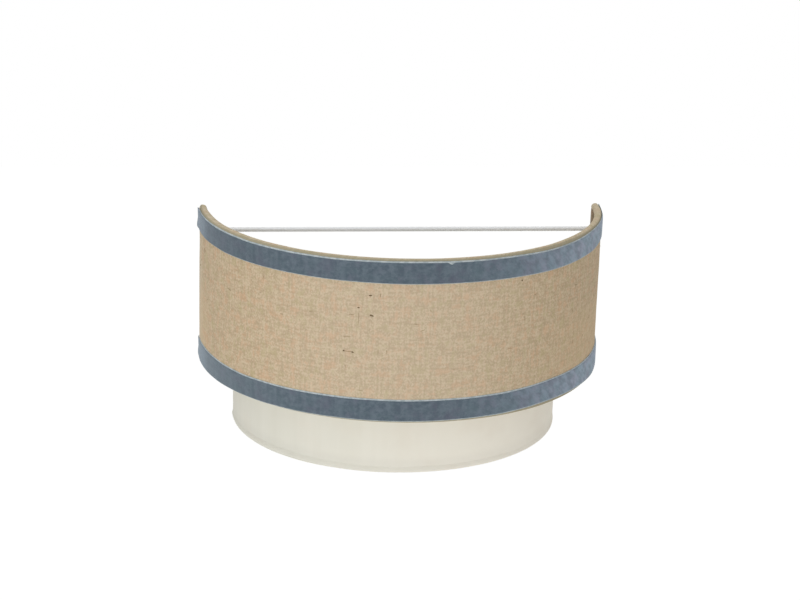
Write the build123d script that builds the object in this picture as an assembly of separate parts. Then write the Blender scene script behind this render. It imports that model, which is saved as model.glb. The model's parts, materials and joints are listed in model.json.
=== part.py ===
from build123d import *
import math
import os

# A half-round, two-tier fabric shade that hangs on a small wall bracket with an upright lampholder.
# Millimetres, +Z up. The wall is the plane y = 0 and the light stands out from it towards -Y.
# The origin lies on the wall, midway between the two fixing slots of the wall plate.

# ---- the shade as a whole ----
SHADE_WIDTH = 350.0  # over the velvet ribbons
RIM_ABOVE_FIXING = 120.0  # from the fixing slots up to the top of the outer rim
OUTER_HEIGHT = 138.0  # outer tier, over its two rolled edges
TOTAL_HEIGHT = 193.5  # top of the outer rim to the bottom of the inner tier
WALL_GAP = 0.5  # between the wall and every cut end of the shade

# ---- outer tier: jute on a film liner, velvet ribbons, rolled edges ----
RIBBON_WIDTH = 20.0
RIBBON_THICK = 1.0
RIBBON_BELOW_RIM = 1.2
RIBBON_ABOVE_FOOT = 1.4
JUTE_THICK = 1.0
OUTER_LINER_THICK = 0.5
OUTER_ROLL_D = 6.0
OUTER_RING_WIRE_D = 3.6
ROLL_TUCK = 1.0  # the cloth ends this far short of a roll's middle

# ---- inner tier: plain cloth on a film liner ----
TIER_STEP = 32.2  # from the outside of the ribbon in to the outside of the inner cloth
INNER_BELOW_BAR = 4.0  # from the hanging bar down to the inner tier's rolled top
INNER_OFFSET_X = -2.4  # the hand-made inner tier hangs a little to the left
CLOTH_THICK = 0.5
INNER_LINER_THICK = 0.5
INNER_ROLL_D = 5.0
INNER_ROLL_PROUD = 1.4  # how far a roll stands out from the cloth
INNER_RING_WIRE_D = 3.0

# ---- the wires at the open back ----
STRUT_D = 4.0
STRUT_COVERED = 1.2  # cloth between a strut and the wall side
STRUT_PAST_RING = 0.9  # a strut runs this far past the middle of the ring wires that it joins
BAR_D = 4.0
BAR_WELD = 0.4  # how deep a bar is pressed into the strut that it is welded to
BAR_END_MARGIN = 0.4  # between a bar's end and the outer liner
UPPER_BAR_BELOW_RIM = 21.8
HANGING_BAR_BELOW_RIM = 64.0
LINK_D = 3.0
LINK_ABOVE_FOOT = 10.0  # above the bottom of the outer tier
INNER_STRUT_PAST_BAR = 2.5
NOTCH_CLEAR = 0.3  # round a link where it goes through the inner tier's edge

# ---- wall plate and hooks ----
PLATE_WIDTH = 96.0
PLATE_ABOVE_BAR = 4.0  # above the middle of the hanging bar
PLATE_BELOW_ARM = 6.0  # below the arm's upper face
PLATE_THICK = 2.0
PLATE_CORNER_R = 8.0
SLOT_SPACING = 70.0
SLOT_LENGTH = 12.0
SLOT_WIDTH = 5.5
HOOK_SPACING = 56.0
HOOK_WIDTH = 12.0
HOOK_THICK = 1.6
HOOK_ROOT_LENGTH = 16.0
HOOK_LIP_RISE = 3.0  # above the middle of the bar
HOOK_BEND_R = 0.8
HANG_CLEAR = 0.3  # between the hanging bar and its hook

# ---- lamp arm ----
LAMP_REACH = 75.0  # from the wall to the lamp's axis
ARM_SEAT_Z = -50.0  # upper face of the arm
ARM_WIDTH = 20.0
ARM_THICK = 2.5
ARM_FOOT_RISE = 28.0
ARM_BEND_R = 3.0
ARM_NOSE = 13.0  # arm beyond the lamp's axis
RIVET_D = 4.0
RIVET_HEAD_D = 7.0
RIVET_HEAD_H = 1.5
RIVET_PITCH = 12.0
RIVET_FIRST_RISE = 9.0  # first rivet above the arm's seat

# ---- cable entry and terminals ----
GROMMET_ABOVE_BLOCK = 17.5
GROMMET_HOLE_D = 12.0
GROMMET_BORE_D = 7.0
GROMMET_FLANGE_D = 15.5
GROMMET_LENGTH = 4.5
BLOCK_WIDTH = 28.0
BLOCK_HEIGHT = 14.0
BLOCK_BASE_DEPTH = 12.0
BLOCK_TOWER_D = 6.5
BLOCK_TOWER_RISE = 3.0
BLOCK_EDGE_R = 1.2
BLOCK_TOP_Z = -2.5
POLE_PITCH = 9.0
POLE_COUNT = 3
INSERT_D = 5.0
INSERT_BORE_D = 3.2
INSERT_DEPTH = 5.5  # axis of an insert in front of the plate
CLAMP_SCREW_D = 3.0
CLAMP_SCREW_PITCH = 7.0
CLAMP_SCREW_SUNK = 0.8  # its head lies this deep in the block
CLAMP_SLOT_DEPTH = 0.7
CLAMP_SLOT_WIDTH = 0.7
COVER_WIDTH = 46.0
COVER_ABOVE_BLOCK = 29.5
COVER_BELOW_BLOCK = 4.5
COVER_DEPTH = 24.0
COVER_WALL = 1.6
COVER_EDGE_R = 4.0
PILLAR_D = 5.0
PILLAR_ABOVE_BLOCK = 2.2
SCREW_HEAD_D = 6.4
SCREW_HEAD_H = 2.2
SCREW_SLOT_W = 1.0
EARTH_X = -36.0
EARTH_Z = -33.0
EARTH_SCREW_D = 4.0
TAG_D = 9.0
TAG_THICK = 0.8
TAG_LENGTH = 14.0

# ---- leads ----
LAMP_LEAD_D = 4.0
LAMP_LEAD_X = 13.0
LAMP_LEAD_LOW_Z = -66.0
LAMP_LEAD_BACK_R = 16.0
LAMP_LEAD_RISE_R = 8.0
LEAD_PLANE_Y = -9.0
LEAD_END_GAP = 0.4
EARTH_LEAD_D = 2.2
EARTH_LEAD_X = -9.0
EARTH_LEAD_R = 6.5

# ---- lampholder, size E27 ----
NIPPLE_D = 10.0
NIPPLE_BORE_D = 7.0
NIPPLE_LENGTH = 17.0
NIPPLE_BELOW_ARM = 6.0
NIPPLE_HOLE_CLEAR = 0.1
NUT_FLATS = 14.0
NUT_THICK = 3.5
HOLDER_HEIGHT = 52.0
HOLDER_CAP_HEIGHT = 14.0
HOLDER_SEAT_D = 20.0
HOLDER_WALL = 2.0
HOLDER_SPIGOT = 5.0
HOLDER_MOUTH_ROOM = 2.05  # round the screw sleeve's bore
SLEEVE_ROOM = 0.35  # round the crests of the bulb's thread
SLEEVE_WALL = 0.5
CUP_WALL = 4.45
FIT_CLEAR = 0.1
CONTACT_WIDTH = 6.0
CONTACT_THICK = 0.6
CONTACT_LENGTH = 15.0

# ---- bulb: golf-ball shape with an E27 cap ----
BULB_LENGTH = 80.0
GLOBE_D = 45.0
GLOBE_WALL = 1.2
CAP_D = 26.2
CAP_LENGTH = 27.0
CAP_SEATED = 25.0  # how much of the cap's length lies inside the holder
CAP_WALL = 0.6
THREAD_PITCH = 3.63
THREAD_DEPTH = 0.9
THREAD_TURNS = 4
FOOT_D = 9.5
FOOT_THICK = 1.5
INSULATOR_HEIGHT = 4.0
COLLAR_HEIGHT = 18.0
BOARD_SEAT = 2.5  # the board lies this deep in the collar
BOARD_EDGE_GAP = 0.8
BOARD_THICK = 1.6
CONTACT_GAP = 0.3

# ---- places that follow from the sizes above ----
OUTER_RADIUS = SHADE_WIDTH / 2
JUTE_RADIUS = OUTER_RADIUS - RIBBON_THICK
OUTER_LINER_RADIUS = JUTE_RADIUS - JUTE_THICK
OUTER_BORE_RADIUS = OUTER_LINER_RADIUS - OUTER_LINER_THICK
RIM_Z = RIM_ABOVE_FIXING
FOOT_Z = RIM_Z - OUTER_HEIGHT
INNER_FOOT_Z = RIM_Z - TOTAL_HEIGHT
HAIR = 0.02  # least gap between round faces that only just touch
OUTER_ROLL_RADIUS = JUTE_RADIUS - OUTER_ROLL_D / 2 - HAIR
OUTER_TOP_ROLL_Z = RIM_Z - OUTER_ROLL_D / 2
OUTER_FOOT_ROLL_Z = FOOT_Z + OUTER_ROLL_D / 2
HANGING_BAR_Z = RIM_Z - HANGING_BAR_BELOW_RIM
INNER_TOP_Z = HANGING_BAR_Z - BAR_D / 2 - INNER_BELOW_BAR
INNER_RADIUS = OUTER_RADIUS - TIER_STEP
INNER_LINER_RADIUS = INNER_RADIUS - CLOTH_THICK
INNER_BORE_RADIUS = INNER_LINER_RADIUS - INNER_LINER_THICK
INNER_ROLL_RADIUS = INNER_RADIUS + INNER_ROLL_PROUD - INNER_ROLL_D / 2
INNER_TOP_ROLL_Z = INNER_TOP_Z - INNER_ROLL_D / 2
INNER_FOOT_ROLL_Z = INNER_FOOT_Z + INNER_ROLL_D / 2
STRUT_Y = -(WALL_GAP + STRUT_COVERED + STRUT_D / 2)
BAR_Y = STRUT_Y - (STRUT_D + BAR_D) / 2 + BAR_WELD
UPPER_BAR_Z = RIM_Z - UPPER_BAR_BELOW_RIM
LINK_Z = FOOT_Z + LINK_ABOVE_FOOT
PLATE_FACE_Y = -PLATE_THICK
PLATE_TOP = HANGING_BAR_Z + PLATE_ABOVE_BAR
PLATE_BOTTOM = ARM_SEAT_Z - PLATE_BELOW_ARM
PILLAR_Z = BLOCK_TOP_Z + PILLAR_D / 2 + PILLAR_ABOVE_BLOCK
GROMMET_Z = BLOCK_TOP_Z + GROMMET_ABOVE_BLOCK
COVER_TOP_Z = BLOCK_TOP_Z + COVER_ABOVE_BLOCK
COVER_BOTTOM_Z = BLOCK_TOP_Z - BLOCK_HEIGHT - COVER_BELOW_BLOCK
SLEEVE_BORE_D = CAP_D + 2 * SLEEVE_ROOM
HOLDER_SHELL_D = SLEEVE_BORE_D + 2 * (SLEEVE_WALL + CUP_WALL + FIT_CLEAR + HOLDER_WALL)
HOLDER_TOP_Z = ARM_SEAT_Z + HOLDER_HEIGHT
BULB_FOOT_Z = HOLDER_TOP_Z - CAP_SEATED
LAMP_AXIS = Location((0, -LAMP_REACH, 0))


def strut_x(bore_radius):
    """How far from the middle a strut stands that touches a liner of this inside radius."""
    middle = bore_radius - STRUT_D / 2 - HAIR
    return math.sqrt(middle**2 - (STRUT_Y + WALL_GAP) ** 2)


OUTER_STRUT_X = strut_x(OUTER_BORE_RADIUS)
INNER_STRUT_X = strut_x(INNER_BORE_RADIUS)


# ---- helpers ----
def half_round(section, offset_x=0.0, short_by=0.0):
    """Turn a section, drawn in x = radius and z, through the half circle in front of the wall.

    Both ends stop short of the half circle by this many degrees.
    """
    arc = revolve(Plane.XZ * section, Axis.Z, 180 - 2 * short_by)
    return Location((offset_x, -WALL_GAP, 0), (0, 0, 180 + short_by)) * arc


def half_shell(outer_radius, thick, low, high, offset_x=0.0):
    section = Pos(outer_radius - thick / 2, (low + high) / 2) * Rectangle(thick, high - low)
    return half_round(section, offset_x)


def half_ring(radius, height, diameter, offset_x=0.0, short_by=0.0):
    return half_round(Pos(radius, height) * Circle(diameter / 2), offset_x, short_by)


def turned(points, at=LAMP_AXIS):
    """A solid of revolution about an upright axis, from (radius, z) points of its outline."""
    outline = make_face(Plane.XZ * Polyline(*points, close=True))
    return at * revolve(outline, Axis.Z, 360)


def rod(start, end, diameter):
    start, end = Vector(*start), Vector(*end)
    along = Plane(origin=start, z_dir=end - start)
    return along * Cylinder(diameter / 2, (end - start).length, align=(Align.CENTER, Align.CENTER, Align.MIN))


def tube_along(points, radii, diameter):
    """A lead: straight runs joined by tangent arcs."""
    path = FilletPolyline(*points, radius=radii)
    section = Plane(origin=path @ 0, z_dir=path % 0) * Circle(diameter / 2)
    return sweep(section, path=path)


def write(name, shape):
    solids = shape.solids()
    shape = solids[0] if len(solids) == 1 else Compound(children=list(solids))
    shape.label = name
    export_step(shape, f"parts/{name}.step")
    print(f"{name}: {len(solids)} solid(s), {sum(s.volume for s in solids):.1f} mm3")


# ---- the frame of the shade ----
def strut_pair(reach_x, low, high, offset_x=0.0):
    struts = [
        rod((offset_x + side * reach_x, STRUT_Y, low), (offset_x + side * reach_x, STRUT_Y, high), STRUT_D)
        for side in (-1, 1)
    ]
    return struts[0] + struts[1]


def outer_struts():
    low, high = OUTER_FOOT_ROLL_Z - STRUT_PAST_RING, OUTER_TOP_ROLL_Z + STRUT_PAST_RING
    return strut_pair(OUTER_STRUT_X, low, high)


def inner_struts():
    low, high = INNER_FOOT_ROLL_Z - STRUT_PAST_RING, HANGING_BAR_Z + INNER_STRUT_PAST_BAR
    return strut_pair(INNER_STRUT_X, low, high, INNER_OFFSET_X)


def ring_wire(radius, height, diameter, struts, offset_x=0.0):
    """A half ring whose ends are cut to the struts that they are welded to."""
    short_by = math.degrees(math.asin(-(STRUT_Y + WALL_GAP) / radius))
    return half_ring(radius, height, diameter, offset_x, short_by) - struts


def back_bar(height, struts):
    front = BAR_Y + WALL_GAP - BAR_D / 2
    reach = math.sqrt((OUTER_BORE_RADIUS - BAR_END_MARGIN) ** 2 - front**2)
    return rod((-reach, BAR_Y, height), (reach, BAR_Y, height), BAR_D) - struts


def link_rod(side, diameter):
    inner_end = (INNER_OFFSET_X + side * INNER_STRUT_X, STRUT_Y, LINK_Z)
    outer_end = (side * OUTER_STRUT_X, STRUT_Y, LINK_Z)
    return rod(inner_end, outer_end, diameter)


def tier_links(struts):
    return (link_rod(-1, LINK_D) + link_rod(1, LINK_D)) - struts


def link_notches():
    """The space round each link where it goes through the inner tier, open to the wall side."""
    width = LINK_D + 2 * NOTCH_CLEAR
    notches = link_rod(-1, width) + link_rod(1, width)
    for side in (-1, 1):
        middle_x = INNER_OFFSET_X + side * (INNER_STRUT_X + INNER_RADIUS + INNER_ROLL_PROUD) / 2
        slot = Box(INNER_ROLL_D * 2, -STRUT_Y, width, align=(Align.CENTER, Align.MIN, Align.CENTER))
        notches += Pos(middle_x, STRUT_Y, LINK_Z) * slot
    return notches


# ---- the cloth of the shade ----
def rolled_edge(radius, height, diameter, wire_d, struts, offset_x=0.0):
    roll = half_ring(radius, height, diameter, offset_x)
    return roll - ring_wire(radius, height, wire_d, struts, offset_x) - struts


def outer_wall(outer_radius, thick):
    """A layer of the outer tier, ended where the two rolled edges take it up."""
    wall = half_shell(outer_radius, thick, OUTER_FOOT_ROLL_Z + ROLL_TUCK, OUTER_TOP_ROLL_Z - ROLL_TUCK)
    top = half_ring(OUTER_ROLL_RADIUS, OUTER_TOP_ROLL_Z, OUTER_ROLL_D)
    return wall - top - half_ring(OUTER_ROLL_RADIUS, OUTER_FOOT_ROLL_Z, OUTER_ROLL_D)


def inner_wall(outer_radius, thick):
    """A layer of the inner tier, notched for the two links."""
    wall = half_shell(outer_radius, thick, INNER_FOOT_ROLL_Z, INNER_TOP_ROLL_Z, INNER_OFFSET_X)
    wall -= half_ring(INNER_ROLL_RADIUS, INNER_TOP_ROLL_Z, INNER_ROLL_D, INNER_OFFSET_X)
    wall -= half_ring(INNER_ROLL_RADIUS, INNER_FOOT_ROLL_Z, INNER_ROLL_D, INNER_OFFSET_X)
    return wall - link_notches()


def ribbon(low):
    return half_shell(OUTER_RADIUS, RIBBON_THICK - HAIR, low, low + RIBBON_WIDTH)


# ---- wall plate, hooks and arm ----
def wall_plate():
    middle_z = (PLATE_TOP + PLATE_BOTTOM) / 2
    outline = Pos(0, middle_z) * RectangleRounded(PLATE_WIDTH, PLATE_TOP - PLATE_BOTTOM, PLATE_CORNER_R)
    for side in (-1, 1):
        outline -= Pos(side * SLOT_SPACING / 2, 0) * SlotOverall(SLOT_LENGTH, SLOT_WIDTH)
    outline -= Pos(0, GROMMET_Z) * Circle(GROMMET_HOLE_D / 2)
    outline -= Pos(EARTH_X, EARTH_Z) * Circle(EARTH_SCREW_D / 2)
    for z in rivet_heights():
        outline -= Pos(0, z) * Circle(RIVET_D / 2)
    return extrude(Plane.XZ * outline, amount=PLATE_THICK)


def shade_hook(x):
    trough = HANGING_BAR_Z - BAR_D / 2 - HANG_CLEAR
    lip_back = BAR_Y - BAR_D / 2 - HANG_CLEAR
    lip_front = lip_back - HOOK_THICK
    root_front = PLATE_FACE_Y - HOOK_THICK
    under = trough - HOOK_THICK
    points = [
        (PLATE_FACE_Y, under - HOOK_ROOT_LENGTH),
        (root_front, under - HOOK_ROOT_LENGTH),
        (root_front, under),
        (lip_front, under),
        (lip_front, HANGING_BAR_Z + HOOK_LIP_RISE),
        (lip_back, HANGING_BAR_Z + HOOK_LIP_RISE),
        (lip_back, trough),
        (PLATE_FACE_Y, trough),
    ]
    profile = make_face(Plane.YZ * Polyline(*points, close=True))
    hook = extrude(profile, amount=HOOK_WIDTH / 2, both=True)
    bends = hook.edges().filter_by(Axis.X).filter_by(
        lambda e: abs(e.center().Y - lip_front) < HAIR and abs(e.center().Z - under) < HAIR
    )
    return Pos(x, 0, 0) * fillet(bends, HOOK_BEND_R)


def shade_hooks():
    return shade_hook(-HOOK_SPACING / 2) + shade_hook(HOOK_SPACING / 2)


def rivet_heights():
    first = ARM_SEAT_Z + RIVET_FIRST_RISE
    return (first, first + RIVET_PITCH)


def lamp_arm():
    nose_y = -(LAMP_REACH + ARM_NOSE)
    foot_front = PLATE_FACE_Y - ARM_THICK
    top = ARM_SEAT_Z + ARM_FOOT_RISE
    under = ARM_SEAT_Z - ARM_THICK
    points = [
        (PLATE_FACE_Y, top),
        (PLATE_FACE_Y, under),
        (nose_y, under),
        (nose_y, ARM_SEAT_Z),
        (foot_front, ARM_SEAT_Z),
        (foot_front, top),
    ]
    profile = make_face(Plane.YZ * Polyline(*points, close=True))
    arm = extrude(profile, amount=ARM_WIDTH / 2, both=True)
    across = arm.edges().filter_by(Axis.X)
    inner_bend = across.filter_by(
        lambda e: abs(e.center().Y - foot_front) < HAIR and abs(e.center().Z - ARM_SEAT_Z) < HAIR
    )
    arm = fillet(inner_bend, ARM_BEND_R)
    outer_bend = arm.edges().filter_by(Axis.X).filter_by(
        lambda e: abs(e.center().Y - PLATE_FACE_Y) < HAIR and abs(e.center().Z - under) < HAIR
    )
    arm = fillet(outer_bend, ARM_BEND_R + ARM_THICK)
    nose = arm.edges().filter_by(Axis.Z).group_by(Axis.Y)[0]
    arm = fillet(nose, ARM_WIDTH / 2 - FIT_CLEAR)
    hole = Cylinder((NIPPLE_D + NIPPLE_HOLE_CLEAR) / 2, 4 * ARM_THICK)
    arm -= Pos(0, -LAMP_REACH, ARM_SEAT_Z) * hole
    for z in rivet_heights():
        arm -= rod((0, 0, z), (0, foot_front * 2, z), RIVET_D)
    return arm


def arm_rivets():
    foot_front = PLATE_FACE_Y - ARM_THICK
    rivets = []
    for z in rivet_heights():
        shank = rod((0, 0, z), (0, foot_front, z), RIVET_D)
        head = rod((0, foot_front, z), (0, foot_front - RIVET_HEAD_H, z), RIVET_HEAD_D)
        rivets.append(shank + head)
    return rivets[0] + rivets[1]


# ---- cable entry, terminals and earth ----
def cable_grommet():
    barrel = rod((0, 0, GROMMET_Z), (0, -GROMMET_LENGTH, GROMMET_Z), GROMMET_HOLE_D - 2 * HAIR)
    flange = rod((0, PLATE_FACE_Y, GROMMET_Z), (0, -GROMMET_LENGTH, GROMMET_Z), GROMMET_FLANGE_D)
    front = (barrel + flange).edges().filter_by(GeomType.CIRCLE).group_by(Axis.Y)[0]
    body = fillet(front, (GROMMET_LENGTH - PLATE_THICK) / 3)
    return body - rod((0, GROMMET_LENGTH, GROMMET_Z), (0, -2 * GROMMET_LENGTH, GROMMET_Z), GROMMET_BORE_D)


def pole_places():
    first = -(POLE_COUNT - 1) / 2
    return [(first + i) * POLE_PITCH for i in range(POLE_COUNT)]


def clamp_heights():
    middle = BLOCK_TOP_Z - BLOCK_HEIGHT / 2
    return (middle - CLAMP_SCREW_PITCH / 2, middle + CLAMP_SCREW_PITCH / 2)


def terminal_block():
    base_y = PLATE_FACE_Y - BLOCK_BASE_DEPTH / 2
    middle_z = BLOCK_TOP_Z - BLOCK_HEIGHT / 2
    block = Pos(0, base_y, middle_z) * Box(BLOCK_WIDTH, BLOCK_BASE_DEPTH, BLOCK_HEIGHT)
    block = fillet(block.edges().filter_by(Axis.Y), BLOCK_EDGE_R)
    face = PLATE_FACE_Y - BLOCK_BASE_DEPTH
    for x in pole_places():
        for z in clamp_heights():
            block += rod((x, face + 1, z), (x, face - BLOCK_TOWER_RISE, z), BLOCK_TOWER_D)
    insert_y = PLATE_FACE_Y - INSERT_DEPTH
    for x in pole_places():
        block -= rod((x, insert_y, BLOCK_TOP_Z + 1), (x, insert_y, BLOCK_TOP_Z - BLOCK_HEIGHT - 1), INSERT_D)
        for z in clamp_heights():
            block -= rod((x, insert_y, z), (x, face - 2 * BLOCK_TOWER_RISE, z), CLAMP_SCREW_D + FIT_CLEAR)
    return block


def terminal_inserts():
    insert_y = PLATE_FACE_Y - INSERT_DEPTH
    low, high = BLOCK_TOP_Z - BLOCK_HEIGHT + 1, BLOCK_TOP_Z - 1
    inserts = Part()
    for x in pole_places():
        insert = rod((x, insert_y, low), (x, insert_y, high), INSERT_D)
        insert -= rod((x, insert_y, low - 1), (x, insert_y, high + 1), INSERT_BORE_D)
        for z in clamp_heights():
            insert -= rod((x, insert_y, z), (x, insert_y - INSERT_D, z), CLAMP_SCREW_D)
        inserts += insert
    return inserts


def terminal_screws():
    tip_y = PLATE_FACE_Y - INSERT_DEPTH - INSERT_BORE_D / 4
    head_y = PLATE_FACE_Y - BLOCK_BASE_DEPTH - BLOCK_TOWER_RISE + CLAMP_SCREW_SUNK
    screws = Part()
    for x in pole_places():
        for z in clamp_heights():
            screw = rod((x, tip_y, z), (x, head_y, z), CLAMP_SCREW_D)
            screw -= Pos(x, head_y, z) * Box(2 * CLAMP_SCREW_D, 2 * CLAMP_SLOT_DEPTH, CLAMP_SLOT_WIDTH)
            screws += screw
    return screws


def terminal_cover():
    height = COVER_TOP_Z - COVER_BOTTOM_Z
    middle_z = (COVER_TOP_Z + COVER_BOTTOM_Z) / 2
    front = PLATE_FACE_Y - COVER_DEPTH
    box = Pos(0, (PLATE_FACE_Y + front) / 2, middle_z) * Box(COVER_WIDTH, COVER_DEPTH, height)
    box = fillet(box.edges().filter_by(Axis.Y), COVER_EDGE_R)
    box = fillet(box.faces().sort_by(Axis.Y)[0].edges(), COVER_WALL)
    inside_depth = COVER_DEPTH - COVER_WALL
    inside = Pos(0, PLATE_FACE_Y - inside_depth / 2, middle_z) * Box(
        COVER_WIDTH - 2 * COVER_WALL, inside_depth, height - 2 * COVER_WALL
    )
    inside = fillet(inside.edges().filter_by(Axis.Y), COVER_EDGE_R - COVER_WALL)
    cover = box - inside
    cover -= rod((0, 0, PILLAR_Z), (0, 2 * front, PILLAR_Z), SCREW_HEAD_D / 2 + 2 * FIT_CLEAR)
    for x, diameter in ((LAMP_LEAD_X, LAMP_LEAD_D), (EARTH_LEAD_X, EARTH_LEAD_D)):
        width = diameter + 2 * HANG_CLEAR
        reach = LEAD_PLANE_Y - diameter / 2 - HANG_CLEAR
        notch = Box(width, -reach, 4 * COVER_WALL, align=(Align.CENTER, Align.MIN, Align.CENTER))
        cover -= Pos(x, reach, COVER_BOTTOM_Z) * notch
    return cover


def cover_pillar():
    end = PLATE_FACE_Y - COVER_DEPTH + COVER_WALL
    pillar = rod((0, PLATE_FACE_Y, PILLAR_Z), (0, end, PILLAR_Z), PILLAR_D)
    return pillar - rod((0, end + COVER_DEPTH / 2, PILLAR_Z), (0, 2 * end, PILLAR_Z), SCREW_HEAD_D / 2)


def cover_screw():
    face = PLATE_FACE_Y - COVER_DEPTH
    head = rod((0, face, PILLAR_Z), (0, face - SCREW_HEAD_H, PILLAR_Z), SCREW_HEAD_D)
    head = fillet(head.edges().filter_by(GeomType.CIRCLE).group_by(Axis.Y)[0], SCREW_HEAD_H / 2)
    head -= Pos(0, face - SCREW_HEAD_H, PILLAR_Z) * Box(2 * SCREW_HEAD_D, SCREW_HEAD_H, SCREW_SLOT_W)
    shank_end = face + COVER_WALL + COVER_DEPTH / 3
    return head + rod((0, face, PILLAR_Z), (0, shank_end, PILLAR_Z), SCREW_HEAD_D / 2)


def earth_screw():
    face = PLATE_FACE_Y - TAG_THICK
    head = rod((EARTH_X, face, EARTH_Z), (EARTH_X, face - SCREW_HEAD_H, EARTH_Z), SCREW_HEAD_D + 1)
    head = fillet(head.edges().filter_by(GeomType.CIRCLE).group_by(Axis.Y)[0], SCREW_HEAD_H / 2)
    slot = Box(2 * SCREW_HEAD_D, SCREW_HEAD_H, SCREW_SLOT_W)
    head -= Pos(EARTH_X, face - SCREW_HEAD_H, EARTH_Z) * slot
    return head + rod((EARTH_X, 0, EARTH_Z), (EARTH_X, face, EARTH_Z), EARTH_SCREW_D)


def earth_tag():
    """A flat ring with a barrel that holds the earth lead."""
    outline = Pos(EARTH_X, EARTH_Z) * Circle(TAG_D / 2)
    outline += Pos(EARTH_X + TAG_LENGTH / 2, EARTH_Z) * Rectangle(TAG_LENGTH, TAG_D * 0.4)
    outline -= Pos(EARTH_X, EARTH_Z) * Circle((EARTH_SCREW_D + FIT_CLEAR) / 2)
    return Pos(0, PLATE_FACE_Y, 0) * extrude(Plane.XZ * outline, amount=TAG_THICK)


def earth_lead():
    start_z = BLOCK_TOP_Z - BLOCK_HEIGHT - LEAD_END_GAP
    end_y = PLATE_FACE_Y - TAG_THICK - EARTH_LEAD_D / 2
    barrel_end_x = EARTH_X + TAG_LENGTH
    points = [
        (EARTH_LEAD_X, LEAD_PLANE_Y, start_z),
        (EARTH_LEAD_X, LEAD_PLANE_Y, EARTH_Z),
        (barrel_end_x, end_y, EARTH_Z),
        (EARTH_X + TAG_D / 2 + EARTH_LEAD_D, end_y, EARTH_Z),
    ]
    return tube_along(points, [EARTH_LEAD_R, EARTH_LEAD_R], EARTH_LEAD_D)


def lamp_lead():
    start_z = BLOCK_TOP_Z - BLOCK_HEIGHT - LEAD_END_GAP
    points = [
        (LAMP_LEAD_X, LEAD_PLANE_Y, start_z),
        (LAMP_LEAD_X, LEAD_PLANE_Y, LAMP_LEAD_LOW_Z),
        (0, -LAMP_REACH, LAMP_LEAD_LOW_Z),
        (0, -LAMP_REACH, ARM_SEAT_Z),
    ]
    return tube_along(points, [LAMP_LEAD_BACK_R, LAMP_LEAD_RISE_R], LAMP_LEAD_D)


# ---- lampholder ----
def holder_nipple():
    low = ARM_SEAT_Z - ARM_THICK - NIPPLE_BELOW_ARM
    tube = Cylinder(NIPPLE_D / 2, NIPPLE_LENGTH, align=(Align.CENTER, Align.CENTER, Align.MIN))
    bore = Cylinder(NIPPLE_BORE_D / 2, 3 * NIPPLE_LENGTH)
    return Pos(0, -LAMP_REACH, low) * (tube - bore)


def nipple_nut():
    nut = extrude(RegularPolygon(NUT_FLATS / 2, 6, major_radius=False), amount=NUT_THICK)
    nut -= Cylinder((NIPPLE_D + NIPPLE_HOLE_CLEAR) / 2, 4 * NUT_THICK)
    return Pos(0, -LAMP_REACH, ARM_SEAT_Z - ARM_THICK - NUT_THICK) * nut


def holder_cap():
    seat, join = ARM_SEAT_Z, ARM_SEAT_Z + HOLDER_CAP_HEIGHT
    hole = (NIPPLE_D + NIPPLE_HOLE_CLEAR) / 2
    spigot = HOLDER_SHELL_D / 2 - HOLDER_WALL - FIT_CLEAR
    outside = HOLDER_SHELL_D / 2
    points = [
        (hole, seat),
        (HOLDER_SEAT_D / 2, seat),
        (HOLDER_SEAT_D / 2 + 2, seat + 3),
        (outside - 1.5, join - 7),
        (outside, join - 4),
        (outside, join),
        (spigot, join),
        (spigot, join + HOLDER_SPIGOT),
        (spigot - HOLDER_WALL, join + HOLDER_SPIGOT),
        (spigot - HOLDER_WALL, join - 5),
        (HOLDER_SEAT_D / 2, seat + HOLDER_WALL + 3),
        (hole, seat + HOLDER_WALL + 3),
    ]
    return turned(points)


def holder_shell():
    join, top = ARM_SEAT_Z + HOLDER_CAP_HEIGHT, HOLDER_TOP_Z
    outside = HOLDER_SHELL_D / 2
    inside = outside - HOLDER_WALL
    mouth = SLEEVE_BORE_D / 2 + HOLDER_MOUTH_ROOM
    points = [
        (inside, join),
        (outside, join),
        (outside, top - 6),
        (outside - 1.2, top - 1.2),
        (outside - 2.6, top),
        (mouth, top),
        (mouth, top - HOLDER_WALL),
        (inside, top - HOLDER_WALL),
    ]
    return turned(points)


def holder_insert():
    """The insulating cup that carries the screw sleeve; it sits on the cap's spigot."""
    low = ARM_SEAT_Z + HOLDER_CAP_HEIGHT + HOLDER_SPIGOT
    high = HOLDER_TOP_Z - HOLDER_WALL
    outside = HOLDER_SHELL_D / 2 - HOLDER_WALL - FIT_CLEAR
    bore = SLEEVE_BORE_D / 2 + SLEEVE_WALL
    floor = cup_floor()
    points = [
        (0, low),
        (outside, low),
        (outside, high),
        (bore, high),
        (bore, floor),
        (0, floor),
    ]
    return turned(points)


def cup_floor():
    return BULB_FOOT_Z - CONTACT_GAP - 2 * CONTACT_THICK


def screw_sleeve():
    floor, high = cup_floor(), HOLDER_TOP_Z - HOLDER_WALL
    bore = SLEEVE_BORE_D / 2
    return turned([(bore, floor), (bore + SLEEVE_WALL, floor), (bore + SLEEVE_WALL, high), (bore, high)])


def centre_contact():
    """A springy strip that rises from the cup's floor to the bulb's foot."""
    floor = cup_floor()
    strip = Box(CONTACT_LENGTH, CONTACT_WIDTH, CONTACT_THICK, align=(Align.CENTER, Align.CENTER, Align.MIN))
    pad = Cylinder(CONTACT_WIDTH / 2, CONTACT_THICK, align=(Align.CENTER, Align.CENTER, Align.MIN))
    return Pos(0, -LAMP_REACH, floor) * (strip + Pos(0, 0, CONTACT_THICK) * pad)


# ---- bulb ----
def globe_centre_z():
    return BULB_FOOT_Z + BULB_LENGTH - GLOBE_D / 2


def collar_top_z():
    return BULB_FOOT_Z + CAP_LENGTH + COLLAR_HEIGHT


def globe_radius_at(z, radius):
    return math.sqrt(radius**2 - (z - globe_centre_z()) ** 2)


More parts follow.
